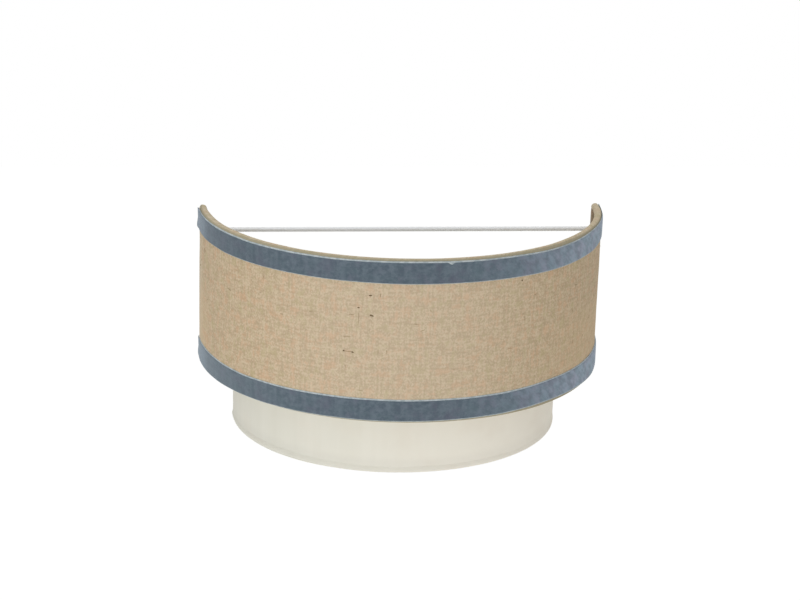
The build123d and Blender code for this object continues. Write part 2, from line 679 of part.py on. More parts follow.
def bulb_globe():
    """An opal ball, open below where it sits in the collar."""
    ball = Sphere(GLOBE_D / 2) - Sphere(GLOBE_D / 2 - GLOBE_WALL)
    ball = Pos(0, -LAMP_REACH, globe_centre_z()) * ball
    below = Box(2 * GLOBE_D, 2 * GLOBE_D, GLOBE_D, align=(Align.CENTER, Align.CENTER, Align.MAX))
    return ball - Pos(0, -LAMP_REACH, collar_top_z()) * below


def bulb_collar():
    low, high = BULB_FOOT_Z + CAP_LENGTH, collar_top_z()
    rim = globe_radius_at(high, GLOBE_D / 2)
    inside = globe_radius_at(high, GLOBE_D / 2 - GLOBE_WALL)
    neck = CAP_D / 2 + 1.2
    waist = (neck + rim) / 2
    points = [
        (0, low),
        (neck, low),
        (neck, low + 2),
        (waist, low + COLLAR_HEIGHT / 2),
        (rim, high),
        (inside, high),
        (inside, high - BOARD_SEAT),
        (0, high - BOARD_SEAT),
    ]
    return turned(points)


def led_board():
    low = collar_top_z() - BOARD_SEAT
    high = low + BOARD_THICK
    edge = globe_radius_at(collar_top_z(), GLOBE_D / 2 - GLOBE_WALL) - BOARD_EDGE_GAP
    return turned([(0, low), (edge, low), (edge, high), (0, high)])


def bulb_cap():
    """A thin metal cap; rings at the thread's pitch stand in for the rolled thread."""
    high = BULB_FOOT_Z + CAP_LENGTH
    low = BULB_FOOT_Z + FOOT_THICK + INSULATOR_HEIGHT
    crest, root = CAP_D / 2, CAP_D / 2 - THREAD_DEPTH
    outline = [(root - CAP_WALL, low), (root, low)]
    for turn in range(THREAD_TURNS):
        start = low + 1 + turn * THREAD_PITCH
        outline += [(root, start), (crest, start + THREAD_PITCH / 2), (root, start + THREAD_PITCH)]
    outline += [(crest, high - 2), (crest, high), (root - CAP_WALL, high)]
    tidy = [p for i, p in enumerate(outline) if i == 0 or p != outline[i - 1]]
    return turned(tidy)


def bulb_insulator():
    low = BULB_FOOT_Z + FOOT_THICK
    high = low + INSULATOR_HEIGHT
    return turned([(0, low), (FOOT_D / 2, low), (CAP_D / 2 - THREAD_DEPTH - CAP_WALL, high), (0, high)])


def bulb_contact():
    foot = Cylinder(FOOT_D / 2, FOOT_THICK, align=(Align.CENTER, Align.CENTER, Align.MIN))
    foot = fillet(foot.edges().filter_by(GeomType.CIRCLE).sort_by(Axis.Z)[0], FOOT_THICK / 2)
    return Pos(0, -LAMP_REACH, BULB_FOOT_Z) * foot


def build():
    outer, inner = outer_struts(), inner_struts()
    struts = outer + inner
    offset = INNER_OFFSET_X
    write("outer_top_ring", ring_wire(OUTER_ROLL_RADIUS, OUTER_TOP_ROLL_Z, OUTER_RING_WIRE_D, outer))
    write("outer_bottom_ring", ring_wire(OUTER_ROLL_RADIUS, OUTER_FOOT_ROLL_Z, OUTER_RING_WIRE_D, outer))
    write("outer_end_struts", outer)
    write("upper_back_bar", back_bar(UPPER_BAR_Z, struts))
    write("hanging_bar", back_bar(HANGING_BAR_Z, struts))
    write("inner_end_struts", inner)
    write("tier_links", tier_links(struts))
    write("inner_top_ring", ring_wire(INNER_ROLL_RADIUS, INNER_TOP_ROLL_Z, INNER_RING_WIRE_D, inner, offset))
    foot_ring = ring_wire(INNER_ROLL_RADIUS, INNER_FOOT_ROLL_Z, INNER_RING_WIRE_D, inner, offset)
    write("inner_bottom_ring", foot_ring)

    outer_roll = (OUTER_ROLL_D, OUTER_RING_WIRE_D, outer)
    inner_roll = (INNER_ROLL_D, INNER_RING_WIRE_D, inner, offset)
    write("top_rim_binding", rolled_edge(OUTER_ROLL_RADIUS, OUTER_TOP_ROLL_Z, *outer_roll))
    write("bottom_rim_binding", rolled_edge(OUTER_ROLL_RADIUS, OUTER_FOOT_ROLL_Z, *outer_roll))
    write("inner_top_binding", rolled_edge(INNER_ROLL_RADIUS, INNER_TOP_ROLL_Z, *inner_roll))
    write("inner_bottom_binding", rolled_edge(INNER_ROLL_RADIUS, INNER_FOOT_ROLL_Z, *inner_roll))
    write("jute_cover", outer_wall(JUTE_RADIUS, JUTE_THICK))
    write("outer_liner", outer_wall(OUTER_LINER_RADIUS, OUTER_LINER_THICK))
    write("top_velvet_ribbon", ribbon(RIM_Z - RIBBON_BELOW_RIM - RIBBON_WIDTH))
    write("bottom_velvet_ribbon", ribbon(FOOT_Z + RIBBON_ABOVE_FOOT))
    write("inner_cover", inner_wall(INNER_RADIUS, CLOTH_THICK))
    write("inner_liner", inner_wall(INNER_LINER_RADIUS, INNER_LINER_THICK))

    write("wall_plate", wall_plate())
    write("shade_hooks", shade_hooks())
    write("lamp_arm", lamp_arm())
    write("arm_rivets", arm_rivets())
    write("cable_grommet", cable_grommet())
    write("terminal_block", terminal_block())
    write("terminal_inserts", terminal_inserts())
    write("terminal_screws", terminal_screws())
    write("terminal_cover", terminal_cover())
    write("cover_pillar", cover_pillar())
    write("cover_screw", cover_screw())
    write("earth_screw", earth_screw())
    write("earth_tag", earth_tag())
    write("earth_lead", earth_lead())
    write("lamp_lead", lamp_lead())

    write("holder_nipple", holder_nipple())
    write("nipple_nut", nipple_nut())
    write("holder_cap", holder_cap())
    write("holder_shell", holder_shell())
    write("holder_insert", holder_insert())
    write("screw_sleeve", screw_sleeve())
    write("centre_contact", centre_contact())

    write("bulb_globe", bulb_globe())
    write("bulb_collar", bulb_collar())
    write("led_board", led_board())
    write("bulb_cap", bulb_cap())
    write("bulb_insulator", bulb_insulator())
    write("bulb_contact", bulb_contact())


os.makedirs("parts", exist_ok=True)
build()
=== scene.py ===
import json
import math
from collections import namedtuple

import bpy
import numpy as np
from mathutils import Matrix, Vector


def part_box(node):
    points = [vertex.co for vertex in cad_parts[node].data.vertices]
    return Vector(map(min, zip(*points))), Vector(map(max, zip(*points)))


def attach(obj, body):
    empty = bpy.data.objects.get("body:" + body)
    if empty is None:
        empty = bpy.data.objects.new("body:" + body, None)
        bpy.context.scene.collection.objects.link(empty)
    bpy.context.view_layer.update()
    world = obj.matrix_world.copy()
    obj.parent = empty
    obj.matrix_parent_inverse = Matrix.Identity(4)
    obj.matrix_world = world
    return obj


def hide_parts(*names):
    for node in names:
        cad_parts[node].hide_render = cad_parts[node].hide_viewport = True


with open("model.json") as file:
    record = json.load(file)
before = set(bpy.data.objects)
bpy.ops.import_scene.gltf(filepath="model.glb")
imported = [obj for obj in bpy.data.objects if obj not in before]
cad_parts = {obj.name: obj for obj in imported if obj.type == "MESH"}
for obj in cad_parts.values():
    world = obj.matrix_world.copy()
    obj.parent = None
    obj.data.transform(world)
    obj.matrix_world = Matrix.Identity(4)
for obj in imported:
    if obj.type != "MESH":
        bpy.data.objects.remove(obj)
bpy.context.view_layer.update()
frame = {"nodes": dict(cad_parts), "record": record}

# The looks of a half-round, two-tier fabric shade with its small wall bracket, lampholder and bulb.
# Metres, +Z up. The wall is the plane y = 0 and the light stands out from it towards -Y.
MM = 0.001

# ---- the picture ----
VIEW_DOWN = math.radians(17.561)  # how far the camera looks down
VIEW_YAW = math.radians(6.085)  # and to the right, because it stands left of the middle
VIEW_ROLL = math.radians(1.4725)
VIEW_DISTANCE = 1.5929
VIEW_TARGET = Vector((-7.62 * MM, -87.82 * MM, 59.28 * MM))
VIEW_LENS = 86.025  # millimetres, as is the sensor
SENSOR_WIDTH = 36.0
FLOOR_Z = -1.55  # the light hangs this high above the floor
FLOOR_SIDE = 14.0
FLOOR_COLOUR = (0.86, 0.86, 0.85)
FLOOR_LIFT = 0.53  # light that the floor adds to what the camera sees of it, to come out white
WORLD_LEVEL = 0.55
WHITE = (1.0, 1.0, 1.0, 1.0)

# ---- threads and thicknesses ----
JUTE_PITCH = 1.05 * MM  # between threads
SLUB_PITCH = 4.3 * MM  # between thicker threads
CREAM_PITCH = 0.42 * MM
RIB_PITCH = 0.45 * MM  # of a ribbon's woven edges
STRIPE_PITCH = 2.6 * MM  # of the earth lead
JUTE_THICK = 0.6 * MM
ROLL_CLOTH = 0.8 * MM  # the jute of the rolled edges
CREAM_THICK = 0.45 * MM
FILM_THICK = 0.4 * MM
PILE_HEIGHT = 0.9 * MM
SELVEDGE_THICK = 0.35 * MM
STRUT_SIZE = 4 * MM
CLEARANCE = 0.1 * MM  # between the cloth and what lies behind it
BACK_GAP = 0.55 * MM  # between the wall and the back of the turned-in cloth

# ---- the lean of the outer tier's left side ----
LEAN = 0.011  # its steepness
LEAN_MIDDLE = 51 * MM  # the height that stays where it is
LEAN_REACH = 36 * MM  # how far it goes on, up and down
LEAN_SIDE = ((0.35, 0.0), (0.85, 1.0))  # how much of it, against how far left of the centre (0 to 1)
LEAN_INSIDE = 170.9 * MM  # nothing leans closer to the centre than this
LEAN_FADE = 1.8 * MM  # and everything this much further out

# ---- the turned-in ends of a cover ----
TUCK_BEND = 1.25 * MM  # radius of the bends
TUCK_PAST = 3.6 * MM  # straight on past the strut
TUCK_SLANT = math.radians(50)  # back towards the film
TUCK_END = 4.0 * MM  # along the film
TUCK_CURL = math.radians(2)  # and curling a little
TUCK_OFF_FILM = 1.0 * MM  # how far the end stands off it
TUCK_NARROW = 1.0 * MM  # the cloth narrows this far before its turned-in part
TUCK_INSET = 0.35  # how far it stays short of the rolls' middles, as a share of their radius
COVER_INSET = -0.1  # and the same for the rest of the cover, which goes past them
FILM_INSET = 0.6
FILM_SHORT = 1.6 * MM  # how far the film stops short of the half circle's ends

# ---- rolled edges ----
ROLL_SHORT = 1.1 * MM  # how far a roll stops short of the half circle's ends
ROLL_BLUNT = 0.55  # length of its rounded ends, as a share of its radius
ROLL_TIP = (0.0, 0.03, 0.1, 0.22, 0.4, 0.65, 1.0)  # samples along it
WRAP = math.radians(232)  # how far round the wire the cloth goes
WRAP_SAMPLES = 20
LAP = 3.0 * MM  # how far the rolled cream cloth laps over its cover
LAP_OFF_COVER = 0.03 * MM
LAP_THICKNESS = (0.08, 0.30, 0.55, 0.80, 0.95)  # shares of the cloth's thickness, from its edge up
TAIL_SLANT, TAIL_LIE = 2.9 * MM, 3.4 * MM  # lengths of the tail on its way to the film, and on the film
TAIL_STEPS = 6
TAIL_NONE = 12 * MM  # there is no tail closer to an end than this
TAIL_GROW = 6 * MM  # and a whole one this much further on

# ---- ribbons ----
RIBBON_SHORT = 0.25 * MM  # how far a ribbon stops short of the half circle's ends
LOOSE_END = 11 * MM  # how far from its end a ribbon stands off
NICK_WIDTH = 1.7 * MM
WAVER = 0.09 * MM
PUFF = 0.10 * MM
# The section of a ribbon runs from 0 at its foot to 3 at its head. 1 and 2 are the edges of the pile.
# RISE is its thickness there, in thicknesses of the woven edge.
RISE_AT = (0, 0.35, 1, 1.012, 1.035, 1.12, 1.88, 1.965, 1.988, 2, 2.65, 3)
RISE = (0.6, 1.0, 1.0, 1.9, 2.35, 2.55, 2.55, 2.35, 1.9, 1.0, 1.0, 0.6)
INTO_PILE = np.array([0.01, 0.035, 0.09, 0.19, 0.31, 0.42])  # samples of the pile, from its edge on

# ---- fineness of the meshes ----
ARC_STEP = math.radians(0.6)
BEND_STEPS = 6
COVER_ROWS = 34
FILM_ROWS = 24


def srgb(red, green, blue):
    """A colour given by its 0 to 255 values on screen, as the linear RGBA that shaders take."""
    def linear(value):
        value /= 255
        return value / 12.92 if value <= 0.04045 else ((value + 0.055) / 1.055) ** 2.4
    return (linear(red), linear(green), linear(blue), 1.0)


# ---- materials ----
class Finish:
    """A material under construction, with short names for the nodes that finishes are made of."""

    def __init__(self, name, colour, roughness, **constants):
        self.material = bpy.data.materials.new(name)
        self.material.use_nodes = True
        self.tree = self.material.node_tree
        self.shader = self.tree.nodes["Principled BSDF"]
        self.shader.inputs["Base Color"].default_value = colour
        self.shader.inputs["Roughness"].default_value = roughness
        for socket, value in constants.items():
            self.shader.inputs[socket.replace("_", " ")].default_value = value

    def node(self, kind, inputs=(), **settings):
        node = self.tree.nodes.new("ShaderNode" + kind)
        for setting, value in settings.items():
            setattr(node, setting, value)
        for key, value in dict(inputs).items():
            self.feed(node.inputs[key], value)
        return node

    def feed(self, socket, value):
        if isinstance(value, bpy.types.NodeSocket):
            self.tree.links.new(value, socket)
        else:
            socket.default_value = value

    def math(self, operation, *values):
        return self.node("Math", dict(enumerate(values)), operation=operation).outputs[0]

    def wave(self, value, length):
        """A sine that repeats after length."""
        return self.math("SINE", self.math("MULTIPLY", value, 2 * math.pi / length))

    def noise(self, vector, scale, detail=2.0, roughness=0.5):
        inputs = {"Vector": vector, "Scale": scale, "Detail": detail, "Roughness": roughness}
        return self.node("TexNoise", inputs).outputs["Fac"]

    def spread(self, value, low, high, to_low=0.0, to_high=1.0):
        """value from low..high to to_low..to_high, held at both ends."""
        inputs = {0: value, 1: low, 2: high, 3: to_low, 4: to_high}
        return self.node("MapRange", inputs, interpolation_type="SMOOTHSTEP").outputs[0]

    def mix(self, factor, first, second, blend="MIX"):
        node = self.node("Mix", data_type="RGBA", blend_type=blend)
        self.feed(node.inputs["Factor"], factor)
        self.feed(node.inputs["A"], first)
        self.feed(node.inputs["B"], second)
        return node.outputs["Result"]

    def where_high(self, value, low, high, tone, colour, most=1.0):
        """tone where value is low or less, turning into colour, by most, where it is high or more."""
        return self.mix(self.spread(value, low, high, 0.0, most), tone, colour)

    def where_low(self, value, low, high, tone, colour, most=1.0):
        """tone where value is high or more, turning into colour, by most, where it is low or less."""
        return self.mix(self.spread(value, low, high, most, 0.0), tone, colour)

    def darkened(self, tone, shade):
        """tone darkened by shade, a value from 0 to 1."""
        grey = self.node("CombineColor", {0: shade, 1: shade, 2: shade}).outputs[0]
        return self.mix(1.0, tone, grey, "MULTIPLY")

    def stretched(self, vector, x, y):
        return self.node("Mapping", {"Vector": vector, "Scale": (x, y, 1.0)}).outputs[0]

    def turned(self, vector, degrees):
        return self.node("Mapping", {"Vector": vector, "Rotation": (0, 0, math.radians(degrees))}).outputs[0]

    def place(self):
        return self.node("TexCoord").outputs["Object"]

    def flat(self):
        """Where a point lies on the flat cloth: metres along it and across it."""
        return self.node("UVMap", uv_map="cloth").outputs[0]

    def split(self, vector):
        return self.node("SeparateXYZ", {0: vector}).outputs

    def colour(self, value):
        self.feed(self.shader.inputs["Base Color"], value)

    def rough(self, grain, smoothest, roughest, low=0.3, high=0.7):
        """Roughness that follows a grain whose values lie mostly between low and high."""
        self.feed(self.shader.inputs["Roughness"], self.spread(grain, low, high, smoothest, roughest))

    def bump(self, height, distance, strength):
        inputs = {"Height": height, "Distance": distance, "Strength": strength}
        self.feed(self.shader.inputs["Normal"], self.node("Bump", inputs).outputs[0])


def woven_height(f, u, v):
    """The crowns of a plain weave, between 0 and 1, with threads that sway a little."""
    flat = f.flat()
    sway = f.noise(f.stretched(flat, 1.0, 0.3), scale=260.0)
    drift = f.noise(f.stretched(flat, 0.4, 1.0), scale=260.0)
    across = f.math("MULTIPLY_ADD", sway, 0.9, f.math("DIVIDE", u, JUTE_PITCH))
    up = f.math("MULTIPLY_ADD", drift, 0.9, f.math("DIVIDE", v, JUTE_PITCH))

    def crown(thread):
        return f.wave(f.math("FRACT", thread), 2)

    def lift(along, thread, sign):
        wave = f.wave(f.math("ADD", along, f.math("FLOOR", thread)), 2)
        return f.math("MULTIPLY_ADD", wave, 0.42 * sign, 0.56)

    warp_high = f.math("MULTIPLY", crown(across), lift(up, across, 1))
    weft_high = f.math("MULTIPLY", crown(up), lift(across, up, -1))
    return f.math("SMOOTH_MAX", warp_high, weft_high, 0.15)


def jute_yarn(f, flat, u, v):
    """How pale the yarn is from place to place: flecks, strands, and thicker and thinner threads."""
    fleck = f.noise(f.stretched(flat, 1.0, 0.86), scale=690.0, detail=1.0)
    strand = f.noise(f.stretched(flat, 1.0, 0.12), scale=640.0)
    cross = f.noise(f.stretched(flat, 0.12, 1.0), scale=600.0)
    yarn = f.math("ADD", fleck, f.math("MULTIPLY_ADD", strand, 0.40, f.math("MULTIPLY", cross, 0.30)))
    thickness = f.noise(flat, scale=150.0)
    for way in (u, v):
        sway = f.math("MULTIPLY", thickness, 9.0)
        turn = f.math("MULTIPLY_ADD", way, 2 * math.pi / SLUB_PITCH, sway)
        yarn = f.math("MULTIPLY_ADD", f.math("SINE", turn), 0.045, yarn)
    return f.math("MULTIPLY_ADD", thickness, 0.74, yarn)


def jute_finish(name, light, dark):
    """Plain weave of uneven jute yarn, in patches of pinker and greener yarn."""
    f = Finish(name, light, 0.92, Specular_IOR_Level=0.08, Sheen_Weight=0.05, Sheen_Roughness=0.5)
    # the middle and left-edge colours here are painted highlights, the warm one is painted warm light and the
    # dim one is painted shade
    pinker, greener, middle_highlight = srgb(208, 169, 134), srgb(188, 174, 132), srgb(217, 204, 186)
    left_edge_highlight, warm, tuck_shade = srgb(222, 213, 189), srgb(222, 194, 154), srgb(104, 88, 80)
    fleck_pale, fleck_dark = srgb(232, 217, 192), srgb(140, 118, 88)
    flat = f.flat()
    u, v = f.split(flat)[:2]
    height = woven_height(f, u, v)
    tone = f.where_high(jute_yarn(f, flat, u, v), 0.945, 1.495, dark, light)

    upright = f.noise(f.stretched(flat, 1.0, 0.30), scale=190.0, detail=3.0, roughness=0.7)
    level = f.noise(f.stretched(flat, 0.35, 1.0), scale=150.0, detail=3.0, roughness=0.7)
    patch = f.math("MULTIPLY_ADD", upright, 0.55, f.math("MULTIPLY", level, 0.45))
    tone = f.where_high(patch, 0.49, 0.62, tone, pinker, most=0.50)
    tone = f.where_low(patch, 0.38, 0.50, tone, greener, most=0.48)

    # painted highlight round its middle and at the left edge, and painted warm light low down on both sides
    from_middle = f.math("ABSOLUTE", f.math("SUBTRACT", u, 0.275))
    tone = f.where_low(from_middle, 0.02, 0.15, tone, middle_highlight, most=0.18)
    x, y = f.split(f.place())[:2]
    tone = f.where_low(x, -173.5 * MM, -170 * MM, tone, left_edge_highlight, most=0.35)
    sides = f.math("ADD", f.spread(u, 0.05, 0.085, 0.28, 0.0), f.spread(u, 0.38, 0.48, 0.0, 0.28))
    tone = f.mix(f.math("MULTIPLY", sides, f.spread(v, 0.05, 0.085, 1.0, 0.0)), tone, warm)

    # painted shade where it is turned in behind the struts
    away = f.node("CombineXYZ", {0: x, 1: y}).outputs[0]
    radius = f.node("VectorMath", {0: away}, operation="LENGTH").outputs["Value"]
    tone = f.where_low(radius, 170.6 * MM, 172.4 * MM, tone, tuck_shade, most=0.42)

    flecks = f.noise(f.stretched(flat, 1.0, 0.7), scale=860.0, detail=1.0)
    tone = f.where_high(flecks, 0.64, 0.79, tone, fleck_pale, most=0.36)
    tone = f.where_low(flecks, 0.20, 0.33, tone, fleck_dark, most=0.30)
    # painted shade in the hollows of the weave: darker where the threads dip
    f.colour(f.darkened(tone, f.spread(height, 0.10, 0.60, 0.91, 1.0)))
    fuzz = f.noise(flat, scale=5200.0)
    f.bump(f.math("MULTIPLY_ADD", fuzz, 0.25, height), 0.16 * MM, strength=0.6)
    f.rough(fuzz, 0.84, 0.99)
    return f.material


def roll_finish(name):
    """Jute stretched tight round the ring: smoother and paler than the cover, with painted shade, olive,
    where it starts beside the ribbon.
    """
    f = Finish(name, srgb(196, 180, 150), 0.9, Specular_IOR_Level=0.15, Sheen_Weight=0.04)
    pinker, greener, olive = srgb(204, 168, 136), srgb(180, 170, 124), srgb(151, 145, 122)
    flat = f.flat()
    yarn = f.noise(f.stretched(f.turned(flat, 40), 1.0, 0.25), scale=520.0)
    tone = f.where_high(yarn, 0.3, 0.7, srgb(192, 176, 147), srgb(211, 198, 172))
    patch = f.noise(f.stretched(flat, 1.0, 0.3), scale=60.0, roughness=0.6)
    tone = f.where_high(patch, 0.50, 0.66, tone, pinker, most=0.30)
    tone = f.where_low(patch, 0.34, 0.48, tone, greener, most=0.30)
    # painted shade on the start of the roll, where it meets the ribbon
    waver = f.math("MULTIPLY_ADD", f.noise(flat, scale=120.0), 0.8 * MM, -0.4 * MM)
    from_start = f.math("ADD", f.split(flat)[1], waver)
    f.colour(f.where_low(from_start, 3.3 * MM, 5.0 * MM, tone, olive, most=0.78))
    fuzz = f.noise(flat, scale=4200.0)
    f.bump(f.math("MULTIPLY_ADD", fuzz, 0.3, yarn), 0.12 * MM, strength=0.5)
    f.rough(fuzz, 0.82, 0.97)
    return f.material


def fibre_finish(name, colour):
    """Thick spots of yarn and stray fibres."""
    f = Finish(name, colour, 0.9, Specular_IOR_Level=0.15)
    grain = f.noise(f.place(), scale=900.0)
    f.colour(f.darkened(colour, f.spread(grain, 0.3, 0.7, 0.75, 1.0)))
    f.bump(grain, 0.1 * MM, strength=0.5)
    return f.material


def velvet_finish(name, left_painted_light):
    """Short pile, with painted sheen that makes the right side of the band and a sliver of its left end look
    paler.
    """
    f = Finish(name, srgb(92, 105, 115), 0.92, Specular_IOR_Level=0.1, Sheen_Weight=0.6,
               Sheen_Roughness=0.5, Sheen_Tint=srgb(196, 205, 214))
    flat = f.flat()
    u = f.split(flat)[0]
    brushed = f.noise(f.stretched(flat, 1.0, 1.3), scale=170.0, detail=4.0, roughness=0.75)
    streaks = f.noise(f.stretched(flat, 1.0, 0.15), scale=190.0)
    strokes = f.noise(f.stretched(f.turned(flat, -48), 1.0, 0.45), scale=170.0, detail=4.0, roughness=0.65)
    cloudy = f.noise(flat, scale=62.0, detail=4.0, roughness=0.65)

    grain = f.math("MULTIPLY_ADD", streaks, 0.4, brushed)
    tone = f.where_high(grain, 0.50, 0.90, srgb(81, 94, 104), srgb(103, 115, 125))
    tone = f.where_high(cloudy, 0.48, 0.66, tone, srgb(97, 99, 114), most=0.5)
    tone = f.where_low(cloudy, 0.32, 0.48, tone, srgb(86, 105, 111), most=0.4)
    # painted light at the band's left end: darker on the top band, paler on the bottom one
    tone = f.where_low(u, 0.05, 0.20, tone, left_painted_light, most=0.30)

    # painted sheen: pale brushed strokes on the right side, and a little at the left end
    painted_sheen = f.math("MAXIMUM", f.spread(u, 0.285, 0.455), f.spread(u, 0.038, 0.054, 0.27, 0.0))
    pale = f.math("MULTIPLY", painted_sheen, f.spread(strokes, 0.37, 0.63, 0.42, 1.0))
    pale_tone = f.where_high(cloudy, 0.42, 0.60, srgb(141, 160, 175), srgb(151, 159, 177))
    f.colour(f.mix(pale, tone, pale_tone))
    pile = f.noise(flat, scale=3600.0)
    f.bump(f.math("MULTIPLY_ADD", brushed, 2.0, pile), 0.12 * MM, strength=0.55)
    f.rough(pile, 0.85, 1.0)
    return f.material


def selvedge_finish(name):
    """The ribbon's woven edge, finely ribbed across."""
    f = Finish(name, srgb(176, 186, 186), 0.75, Specular_IOR_Level=0.3)
    flat = f.flat()
    worn = f.noise(flat, scale=300.0, detail=3.0)
    f.colour(f.where_high(worn, 0.35, 0.65, srgb(160, 172, 176), srgb(190, 198, 200)))
    f.bump(f.wave(f.split(flat)[0], RIB_PITCH), 0.06 * MM, strength=0.6)
    f.rough(worn, 0.65, 0.85)
    return f.material


def cream_finish(name):
    """Fine off-white cotton on a film, almost smooth, with faint upright streaks."""
    f = Finish(name, srgb(226, 223, 210), 0.82, Specular_IOR_Level=0.3, Sheen_Weight=0.08,
               Sheen_Roughness=0.5)
    flat = f.flat()
    u, v = f.split(flat)[:2]
    streak = f.noise(f.stretched(flat, 1.0, 0.06), scale=55.0, detail=3.0, roughness=0.6)
    patch = f.noise(flat, scale=22.0, detail=3.0, roughness=0.55)
    tone = f.where_high(streak, 0.30, 0.70, srgb(229, 227, 214), srgb(233, 231, 219))
    # painted light: paler and warmer towards the right side
    tone = f.where_high(u, 0.10, 0.36, tone, srgb(249, 244, 231))
    tone = f.where_high(patch, 0.48, 0.7, tone, srgb(232, 222, 206), most=0.22)
    # painted shade: darker low down, near the foot of the cloth
    f.colour(f.darkened(tone, f.spread(v, 5 * MM, 14 * MM, 0.955, 1.0)))
    slub = f.noise(f.stretched(flat, 1.0, 0.15), scale=1400.0)
    warp, weft = f.wave(u, CREAM_PITCH), f.wave(v, CREAM_PITCH)
    weave = f.math("MULTIPLY_ADD", warp, weft, f.math("MULTIPLY", slub, 2.0))
    f.bump(weave, 0.05 * MM, strength=0.5)
    f.rough(slub, 0.74, 0.88)
    return f.material


def film_finish(name, light, dark):
    """Satin film with the weave of the cloth behind it showing faintly."""
    f = Finish(name, light, 0.42, Specular_IOR_Level=0.4, Coat_Weight=0.15, Coat_Roughness=0.25)
    flat = f.flat()
    u, v = f.split(flat)[:2]
    weave = f.math("MULTIPLY", f.wave(u, JUTE_PITCH), f.wave(v, JUTE_PITCH))
    cloud = f.noise(flat, scale=60.0, detail=4.0, roughness=0.6)
    f.colour(f.where_high(f.math("MULTIPLY_ADD", weave, 0.18, cloud), 0.3, 0.7, dark, light))
    f.bump(f.noise(flat, scale=140.0), 0.15 * MM, strength=0.4)
    f.rough(cloud, 0.34, 0.5)
    return f.material


def coated_finish(name, colour, dull, roughness, grain, depth, **constants):
    """Paint, powder coat or moulded plastic, slightly soiled, with a grain of depth millimetres."""
    colour, dull = srgb(*colour), srgb(*dull)
    f = Finish(name, colour, roughness, **constants)
    place = f.place()
    soil = f.noise(place, scale=26.0, detail=4.0, roughness=0.6)
    f.colour(f.where_high(soil, 0.45, 0.80, colour, dull, most=0.45))
    fine = f.noise(place, scale=grain)
    f.bump(fine, depth * MM, strength=0.5)
    f.rough(fine, roughness - 0.06, roughness + 0.08)
    return f.material


def metal_finish(name, colour, tarnish, roughness):
    """Bare or plated metal, finely scratched and slightly tarnished."""
    colour, tarnish = srgb(*colour), srgb(*tarnish)
    f = Finish(name, colour, roughness, Metallic=1.0)
    place = f.place()
    dull = f.noise(place, scale=90.0, detail=4.0, roughness=0.65)
    f.colour(f.where_high(dull, 0.4, 0.72, colour, tarnish, most=0.8))
    scratches = f.noise(place, scale=900.0, detail=3.0, roughness=0.6)
    f.bump(scratches, 0.03 * MM, strength=0.5)
    wear = f.math("ADD", scratches, f.math("MULTIPLY", dull, 0.5))
    f.rough(wear, roughness - 0.08, roughness + 0.16, low=0.45, high=1.05)
    return f.material


def earth_sleeve_finish(name):
    """Green sleeve with yellow stripes."""
    f = Finish(name, srgb(70, 140, 60), 0.42)
    place = f.place()
    x, y, z = f.split(place)[:3]
    stripe = f.wave(f.math("ADD", x, f.math("ADD", y, z)), STRIPE_PITCH)
    tone = f.where_high(stripe, -0.2, 0.2, srgb(62, 128, 58), srgb(222, 205, 60))
    soil = f.noise(place, scale=300.0, detail=3.0)
    f.colour(f.where_high(soil, 0.4, 0.8, tone, srgb(110, 120, 60), most=0.3))
    f.bump(f.noise(place, scale=1800.0), 0.04 * MM, strength=0.4)
    return f.material


def opal_finish(name):
    """The bulb's milky globe."""
    f = Finish(name, srgb(243, 242, 236), 0.22, Subsurface_Weight=0.25, Subsurface_Scale=0.004,
               Coat_Weight=0.3, Coat_Roughness=0.12)
    place = f.place()
    cloud = f.noise(place, scale=45.0, detail=3.0)
    f.colour(f.where_high(cloud, 0.35, 0.7, srgb(246, 245, 240), srgb(236, 234, 226)))
    f.bump(f.noise(place, scale=220.0), 0.02 * MM, strength=0.4)
    f.rough(cloud, 0.18, 0.28)
    return f.material


def slot_finishes():
    """The finish of each material slot whose nodes are shown as they are."""
    return {
        "white_wire": coated_finish(
            "white_lacquer", (247, 249, 252), (234, 235, 235), roughness=0.36, grain=700.0, depth=0.03),
        "white_sheet": coated_finish(
            "white_powder_coat", (240, 241, 240), (222, 222, 219), roughness=0.5, grain=1500.0, depth=0.05),
        "zinc_steel": metal_finish("zinc_plate", (196, 199, 202), (158, 162, 163), roughness=0.34),
        "brass": metal_finish("brass", (214, 184, 112), (170, 136, 76), roughness=0.32),
        "grommet_rubber": coated_finish(
            "grommet_rubber", (42, 42, 43), (66, 65, 63), roughness=0.68, grain=1200.0, depth=0.04),
        "white_plastic": coated_finish(
            "white_plastic", (234, 233, 227), (219, 216, 206), roughness=0.46, grain=2200.0, depth=0.03),
        "holder_plastic": coated_finish(
            "holder_plastic", (238, 237, 232), (224, 221, 212), roughness=0.26, grain=500.0, depth=0.015,
            Coat_Weight=0.2, Coat_Roughness=0.1),
        "holder_ceramic": coated_finish(
            "holder_ceramic", (233, 229, 218), (214, 208, 193), roughness=0.6, grain=2600.0, depth=0.04),
        "lead_sleeve": coated_finish(
            "lead_sleeve", (228, 227, 221), (206, 203, 193), roughness=0.5, grain=1600.0, depth=0.03),
        "earth_sleeve": earth_sleeve_finish("earth_sleeve"),
        "opal_globe": opal_finish("opal_globe"),
        "bulb_white": coated_finish(
            "bulb_collar", (238, 238, 235), (226, 224, 217), roughness=0.4, grain=1800.0, depth=0.02),
        "cap_metal": metal_finish("cap_metal", (202, 202, 203), (168, 167, 164), roughness=0.28),
        "black_glass": coated_finish(
            "black_insulator", (22, 22, 25), (44, 43, 42), roughness=0.2, grain=300.0, depth=0.02),
        "board_white": coated_finish(
            "board_white", (232, 234, 230), (212, 214, 208), roughness=0.5, grain=900.0, depth=0.02),
    }


